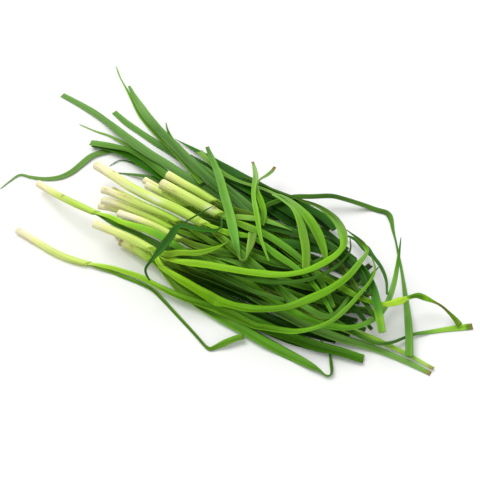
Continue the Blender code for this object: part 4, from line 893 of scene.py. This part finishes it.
def fine_blade(line, blade, look, order, surface, shift):
    """A strap leaf as a grid: its section is an arc of half angle curl, with a keel, swept along the line.

    Across place u runs -1 to 1. The middle surface is half*sin(u*curl)/curl to the side and
    half*(1-cos(u*curl))/curl up, less its mean, plus a keel that dips at u = 0. The thickness is
    t*sqrt(1-|u|^6), so both margins are round.
    """
    from_shank = line["start"] > 0.0
    keep = line["s"] >= (line["start"] - LEAF_ROOT_DEPTH if from_shank else 0.0)
    centre, across, facing = leaf_frame(line)
    at_mouth = np.interp(line["start"] + STEP, line["s"], line["half"])
    half = np.where(line["s"] < line["start"], at_mouth, line["half"])
    s = line["s"][keep]
    centre, across, facing, half = centre[keep], across[keep], facing[keep], half[keep]
    run = np.maximum(s - line["start"], 0.0)
    share = run / run[-1]
    to_tip = s[-1] - s if from_shank else s
    if blade["tip"] == "point":
        half = np.minimum(half, POINT_HALF_WIDTH + half * unit(to_tip / POINT_LENGTH) ** POINT_ROUNDNESS)
    half = half * (1.0 + sum(wave(s, order, *shape) for shape in MARGIN_WAVES))
    extra = (ROOT_CURL - LEAF_CURL) * np.exp(-run / CURL_FADE) if from_shank else np.zeros(len(s))
    curl = (LEAF_CURL * (1.0 + wave(s, order, *CURL_WAVE)) + extra)[:, None]
    u = np.concatenate([np.linspace(1.0, -1.0, BLADE_POINTS), np.linspace(-1.0, 1.0, BLADE_POINTS)[1:-1]])
    u = u[None, :]
    top = np.concatenate([np.ones(BLADE_POINTS), -np.ones(BLADE_POINTS - 2)])[None, :]
    wide = half[:, None]
    side = wide * np.sin(u * curl) / curl
    rise = wide * (1.0 - np.cos(u * curl)) / curl
    rise = rise - wide * (1.0 - np.sin(curl) / curl) / curl
    keel = -KEEL_DEPTH * np.exp(-(u / KEEL_WIDTH) ** 2) * unit(wide / KEEL_HALF_WIDTH)
    round_edge = np.sqrt(np.maximum(1.0 - np.abs(u) ** EDGE_SHARPNESS, LEAST_EDGE))
    thick = LEAF_THICKNESS / 2 * round_edge * unit(NARROW_THICKNESS + wide / FULL_THICKNESS_WIDTH)
    side = side - top * thick * np.sin(u * curl)
    rise = rise + keel + top * thick * np.cos(u * curl)
    cut_end = (to_tip < CUT_END_LENGTH) & (blade["tip"] != "point")
    ragged = cut_end[:, None] * RAGGED_CUT * np.sin(RAGGED_WAVES * u + order * RAGGED_TURN)
    along = np.cross(across, facing)
    rings = (centre[:, None, :] + side[..., None] * across[:, None, :]
             + rise[..., None] * facing[:, None, :] + ragged[..., None] * along[:, None, :])
    if from_shank:
        growth = MOUTH_GROWTH + (1.0 - MOUTH_GROWTH) * (1.0 - np.exp(-run / GREENING_LENGTH))
    else:
        growth = LOOSE_GROWTH + (1.0 - LOOSE_GROWTH) * unit(s / GREENING_LENGTH)
    # Tone is partly the leaf's own and partly painted shade and painted highlight; the default is kept low
    # as painted shade for leaves inside the pile.
    tone = look.get("tone", LEAF_TONE + LEAF_TONE_SPREAD * np.sin(order * TONE_TURN))
    bloom = share_mark(look.get("bloom", LEAF_BLOOM), share)
    dry_end = DRY_END * np.exp(-to_tip / DRY_END_LENGTH)
    brown = np.maximum(share_mark(look.get("brown", 0.0), share), dry_end)
    growth = growth + share_mark(look.get("age", 0.0), share)
    surface.add(rings + shift, growth=unit(growth)[:, None],
                tone=share_mark(tone, share)[:, None],
                bloom=bloom[:, None] + np.where(top < 0, UNDERSIDE_BLOOM, 0.0),
                papery=share_mark(look.get("papery", 0.0), share)[:, None], brown=brown[:, None],
                across=u, along=s[:, None])


def shank_frame(shank, s):
    """Centre and directions of a shank's sections at lengths s."""
    points = np.column_stack([shank["plan"], shank["z"]])
    path = np.linspace(0.0, shank["s"][-1], SHANK_PATH_POINTS)
    centre = read_at(path, shank["s"], points)
    ways = frame_of(centre, sideways(centre[:, :2], path), np.zeros(len(path)))
    across, facing = (read_at(s, path, way) for way in ways)
    return read_at(s, shank["s"], points), across, facing, np.cross(across, facing)


def shank_radius(s, length, width):
    """Half width of a shank: fuller at its foot and a little narrower at its mouth."""
    narrow = late(s / length, NARROW_FROM) ** NARROW_POWER
    return width / 2 * (1.0 + FOOT_FLARE * np.exp(-s / FOOT_LENGTH) - NARROW_LOSS * narrow)


def fine_shank(shank, width, look, order, surface, shift):
    """A shank as a tube: radius r*(1 + ribs), fuller at its foot, flatter and slanted at its mouth.

    The cut end is a run of rings that step inward over the ends of the rolled sheaths.
    """
    length = shank["s"][-1]
    cut = len(CUT_INSET)
    s = np.concatenate([[0.0] * (cut - 1), [FIRST_RING],
                        np.linspace(SECOND_RING, length, max(LEAST_RINGS, int(length / STEP)))])
    inset = np.ones(len(s))
    inset[:cut] = CUT_INSET
    sink = np.zeros(len(s))
    sink[:cut] = CUT_SINK
    centre, across, facing, along = shank_frame(shank, s)
    angle = np.arange(SHANK_SIDES) * 2 * np.pi / SHANK_SIDES
    share = s / length
    ribs = 1.0 + SHANK_RIB_DEPTH * np.cos(SHANK_RIBS * angle[None, :] + order) * unit(s)[:, None]
    radius = (shank_radius(s, length, width) * inset)[:, None] * ribs
    slant = MOUTH_SLANT * late(share, SLANT_FROM)[:, None] * np.cos(angle)[None, :]
    flatness = 1.0 - FLAT_LOSS * late(share, FLAT_FROM)[:, None]
    rings = (centre[:, None, :]
             + (radius * np.cos(angle))[..., None] * across[:, None, :]
             + (radius * np.sin(angle) * flatness)[..., None] * facing[:, None, :]
             + (sink[:, None] + slant)[..., None] * along[:, None, :])
    growth = MOUTH_GROWTH * share + share_mark(look.get("shank_age", 0.0), share)
    brown = np.zeros((len(s), SHANK_SIDES))
    brown[:cut] = np.array(CUT_BROWN)[:, None]
    papery = np.zeros((len(s), SHANK_SIDES))
    for at, turn, reach_along, reach_round, white, dry in look.get("spots", []):
        round_it = np.angle(np.exp(1j * (angle - turn)))
        spot = np.exp(-((s - at) / reach_along)[:, None] ** 2 - (round_it / reach_round)[None, :] ** 2)
        papery = np.maximum(papery, white * spot)
        brown = np.maximum(brown, dry * spot)
    # Painted shade: the tone is darker on the shank's sides than on its top and bottom.
    surface.add(rings + shift, growth=unit(growth)[:, None],
                tone=SHANK_TONE + PAINTED_SIDE_SHADE * (1 / 3 - np.cos(angle)[None, :] ** 2), papery=papery,
                brown=brown, across=np.cos(angle)[None, :], along=s[:, None])


def linear(code):
    """Linear colour of an sRGB hex code: ((c + 0.055) / 1.055)^2.4 above the toe."""
    values = np.array([int(code[i:i + 2], 16) / 255.0 for i in (1, 3, 5)])
    toned = np.where(values <= 0.04045, values / 12.92, ((values + 0.055) / 1.055) ** 2.4)
    return (*toned.tolist(), 1.0)


def node(tree, kind, settings=None, **links):
    """Adds one shader node with its settings. Inputs go by name or by place (i0, i1, ...), value or link."""
    made = tree.nodes.new(kind)
    for name, value in (settings or {}).items():
        setattr(made, name, value)
    for name, value in links.items():
        place = int(name[1:]) if name[0] == "i" and name[1:].isdigit() else name.replace("_", " ")
        if isinstance(value, bpy.types.NodeSocket):
            tree.links.new(value, made.inputs[place])
        else:
            made.inputs[place].default_value = value
    return made


def leaf_cuticle(name, tones):
    """Living leaf under a waxy cuticle, grown: pale in the shank and greener with age, ribbed by fine veins.

    The growth mark runs through the tones. Veins are a cosine of the place across. Painted light and shade
    run across each piece: the middle of a leaf darker than its margins, as a crease lies in shadow, and one
    half lighter than the other.
    Bloom greys the green as rubbed wax does, papery is a dry white sheath and brown a dry or cut edge.
    The cuticle gives a soft satin light, made uneven by fine grain and the relief of the veins.
    """
    material = bpy.data.materials.new(name)
    material.use_nodes = True
    tree = material.node_tree
    tree.nodes.clear()
    marks = {mark: node(tree, "ShaderNodeAttribute", {"attribute_name": mark}).outputs["Fac"]
             for mark in Surface.MARKS}
    place = node(tree, "ShaderNodeTexCoord").outputs["Object"]
    noise = "ShaderNodeTexNoise"
    maths = "ShaderNodeMath"
    times = {"operation": "MULTIPLY"}
    times_plus = {"operation": "MULTIPLY_ADD"}
    patches = node(tree, noise, Vector=place, Scale=PATCH_SCALE, Detail=PATCH_DETAIL).outputs["Fac"]
    fine = node(tree, noise, Vector=place, Scale=GRAIN_SCALE, Detail=GRAIN_DETAIL).outputs["Fac"]
    stretched = node(tree, maths, times, i0=marks["along"], i1=STREAK_ALONG).outputs[0]
    on_leaf = node(tree, "ShaderNodeCombineXYZ", X=marks["across"], Y=stretched, Z=marks["tone"]).outputs[0]
    streaks = node(tree, noise, Vector=on_leaf, Scale=STREAK_SCALE, Detail=STREAK_DETAIL).outputs["Fac"]

    # Growth wanders with the patches and the streaks, and picks the colour.
    patched = node(tree, maths, times_plus, i0=patches, i1=PATCH_GROWTH, i2=marks["growth"]).outputs[0]
    wander = node(tree, maths, times_plus, i0=streaks, i1=STREAK_GROWTH, i2=patched).outputs[0]
    settled = node(tree, maths, {"operation": "SUBTRACT"}, i0=wander, i1=(PATCH_GROWTH + STREAK_GROWTH) / 2)
    ramp = node(tree, "ShaderNodeValToRGB", Fac=settled.outputs[0])
    while len(ramp.color_ramp.elements) < len(tones):
        ramp.color_ramp.elements.new(0.5)
    for element, (place_in_growth, code) in zip(ramp.color_ramp.elements, tones):
        element.position = place_in_growth
        element.color = linear(code)

    # Its strength follows the tone, the veins and the streaks, and painted shade across each piece: one half
    # lighter than the other and the middle darker than the margins.
    strength = node(tree, maths, times_plus, i0=marks["tone"], i1=TONE_SPREAD, i2=DARKEST_TONE).outputs[0]
    vein_place = node(tree, maths, times, i0=marks["across"], i1=VEIN_TURNS).outputs[0]
    veins = node(tree, maths, {"operation": "COSINE"}, i0=vein_place).outputs[0]
    # Painted shade: across squared darkens the middle of a leaf against its margins.
    painted_channel = node(tree, maths, times, i0=marks["across"], i1=marks["across"]).outputs[0]
    for pattern, contrast in ((veins, VEIN_CONTRAST), (streaks, STREAK_CONTRAST),
                              (marks["across"], PAINTED_HALF_SHADE), (painted_channel, PAINTED_CHANNEL_SHADE)):
        strength = node(tree, maths, times_plus, i0=pattern, i1=contrast, i2=strength).outputs[0]
    middling = STREAK_CONTRAST / 2 + PAINTED_CHANNEL_SHADE / 3
    lit = node(tree, maths, {"operation": "SUBTRACT"}, i0=strength, i1=middling)
    colour = node(tree, "ShaderNodeVectorMath", {"operation": "SCALE"}, i0=ramp.outputs["Color"],
                  Scale=lit.outputs[0]).outputs[0]

    # Bloom, dry papery sheath and brown are mixed over it. Brown breaks up into specks.
    clamped = {"use_clamp": True}
    less = node(tree, maths, {"operation": "SUBTRACT"}, i0=marks["brown"], i1=BROWN_FROM).outputs[0]
    specks = node(tree, maths, {"operation": "ADD", **clamped}, i0=fine, i1=less).outputs[0]
    gained = node(tree, maths, times | clamped, i0=marks["brown"], i1=BROWN_GAIN).outputs[0]
    browned = node(tree, maths, times | clamped, i0=specks, i1=gained).outputs[0]
    for share, code in ((marks["bloom"], BLOOM_COLOUR), (marks["papery"], PAPER_COLOUR),
                        (browned, DRY_COLOUR)):
        mix = node(tree, "ShaderNodeMix", {"data_type": "RGBA"}, i0=share, i6=colour, i7=linear(code))
        colour = mix.outputs[2]
    rough = node(tree, maths, times_plus, i0=fine, i1=ROUGHNESS_SPREAD, i2=LEAST_ROUGHNESS)
    relief = node(tree, maths, times_plus, i0=veins, i1=VEIN_RELIEF, i2=fine)
    bump = node(tree, "ShaderNodeBump", Strength=RELIEF_STRENGTH, Distance=RELIEF_HEIGHT,
                Height=relief.outputs[0])
    shader = node(tree, "ShaderNodeBsdfPrincipled", Base_Color=colour, Roughness=rough.outputs[0],
                  Normal=bump.outputs["Normal"], IOR=LEAF_IOR, Specular_IOR_Level=LEAF_SPECULAR)
    node(tree, "ShaderNodeOutputMaterial", Surface=shader.outputs["BSDF"])
    return material


SHANK_TONES = [(0.0, "#F0E8BC"), (0.05, "#E4E698"), (0.15, "#CADE74")]
FINISHES = {slot: leaf_cuticle(name, SHANK_TONES + tones) for slot, name, tones in (
    (SHANK, "chive_sheath", [(0.34, "#AAD048"), (0.6, "#86BA24")]),
    (LIME, "chive_leaf_young", [(0.34, "#9CC830"), (0.62, "#7CB018"), (1.0, "#66A016")]),
    (GREEN, "chive_leaf_grown", [(0.34, "#96C42C"), (0.62, "#5E9C18"), (1.0, "#4A8414")]),
    # The deep finish is partly the leaves' own deep green and partly painted shade: it goes on the leaves
    # under, behind and inside the pile, which lie in shadow.
    (DARK, "chive_leaf_deep_and_shaded", [(0.34, "#84B424"), (0.6, "#3C7810"), (1.0, "#2C6410")]),
    (GREY_GREEN, "chive_leaf_bloomed", [(0.34, "#90B840"), (0.7, "#629E34"), (1.0, "#5C9636")]),
)}


def own_shift(name, points):
    """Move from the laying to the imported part: the offset between their boxes."""
    low, high = (np.array(corner) * MM_PER_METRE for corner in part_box(name))
    return (low + high) / 2 - (points.min(axis=0) + points.max(axis=0)) / 2


def end_corners(line):
    """Corners of a leaf's sections, as its solid has them."""
    centre, across, facing = leaf_frame(line)
    side = across * line["half"][:, None]
    deep = facing * LEAF_THICKNESS / 2
    return np.vstack([centre + right * side + up * deep for right in (1, -1) for up in (1, -1)])


pile = Pile()
laid = [(piece, lay_piece(piece, pile)) for piece in PIECES]
shifts = [own_shift(piece["name"], end_corners(lines[0])) for piece, lines in laid if not piece["shank"]]
shift = np.median(shifts, axis=0)
shift[2] = 0.0


def put(surface, node_name, slot):
    """Adds the fine surface that takes the place of one node."""
    made = surface.build("chive_" + node_name, FINISHES[slot])
    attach(made, "root")
    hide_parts(node_name)


order = 0
for piece, lines in laid:
    look = LOOKS.get(piece["name"], {})
    if piece["shank"]:
        stem = Surface()
        fine_shank(lines[0]["shank_line"], piece["width"], look, order, stem, shift)
        put(stem, "shank_" + piece["name"], SHANK)
    blades = Surface()
    for index, (line, blade) in enumerate(zip(lines, piece["leaves"])):
        order += 1
        fine_blade(line, blade, look.get(index, {}), order, blades, shift)
    put(blades, "leaves_" + piece["name"] if piece["shank"] else piece["name"], piece["colour"])


def card_floor():
    """Matt white card: it gives the eye only soft shadows."""
    material = bpy.data.materials.new("matt_white_card")
    material.use_nodes = True
    shader = material.node_tree.nodes["Principled BSDF"]
    shader.inputs["Base Color"].default_value = linear(FLOOR_COLOUR)
    shader.inputs["Roughness"].default_value = FLOOR_ROUGHNESS
    return material


floor_mesh = bpy.data.meshes.new("floor")
corners = [(x * FLOOR_SIDE / 2, y * FLOOR_SIDE / 2, 0.0) for x, y in ((-1, -1), (1, -1), (1, 1), (-1, 1))]
floor_mesh.from_pydata(corners, [], [(0, 1, 2, 3)])
floor_mesh.materials.append(card_floor())
floor = placed("floor", floor_mesh)

world = bpy.data.worlds.new("studio")
bpy.context.scene.world = world
world.use_nodes = True
world.node_tree.nodes["Background"].inputs["Color"].default_value = linear(SKY_COLOUR)
world.node_tree.nodes["Background"].inputs["Strength"].default_value = SKY_STRENGTH
bpy.context.scene.view_settings.view_transform = "Standard"


def far_softbox(name, direction, strength, spread):
    """A far soft light that shines from a direction, as wide as spread in degrees."""
    lamp = bpy.data.lights.new(name, "SUN")
    lamp.energy = strength
    lamp.angle = np.radians(spread)
    thing = placed(name, lamp)
    thing.rotation_mode = "QUATERNION"
    thing.rotation_quaternion = Vector(direction).to_track_quat("Z", "Y")
    return thing


far_softbox("key_softbox", KEY_DIRECTION, KEY_STRENGTH, KEY_SPREAD)

camera_data = bpy.data.cameras.new("camera")
camera_data.sensor_width = SENSOR
camera_data.lens = SENSOR * SIGHT_DISTANCE / (PHOTO_SIDE * MM_PER_PIXEL)
camera = placed("camera", camera_data)
camera.location = (shift[0] / MM_PER_METRE,
                   (shift[1] - SIGHT_DISTANCE * np.cos(SIGHT_ELEVATION)) / MM_PER_METRE,
                   SIGHT_DISTANCE * np.sin(SIGHT_ELEVATION) / MM_PER_METRE)
camera.rotation_euler = (np.pi / 2 - SIGHT_ELEVATION, 0.0, 0.0)
bpy.context.scene.camera = camera
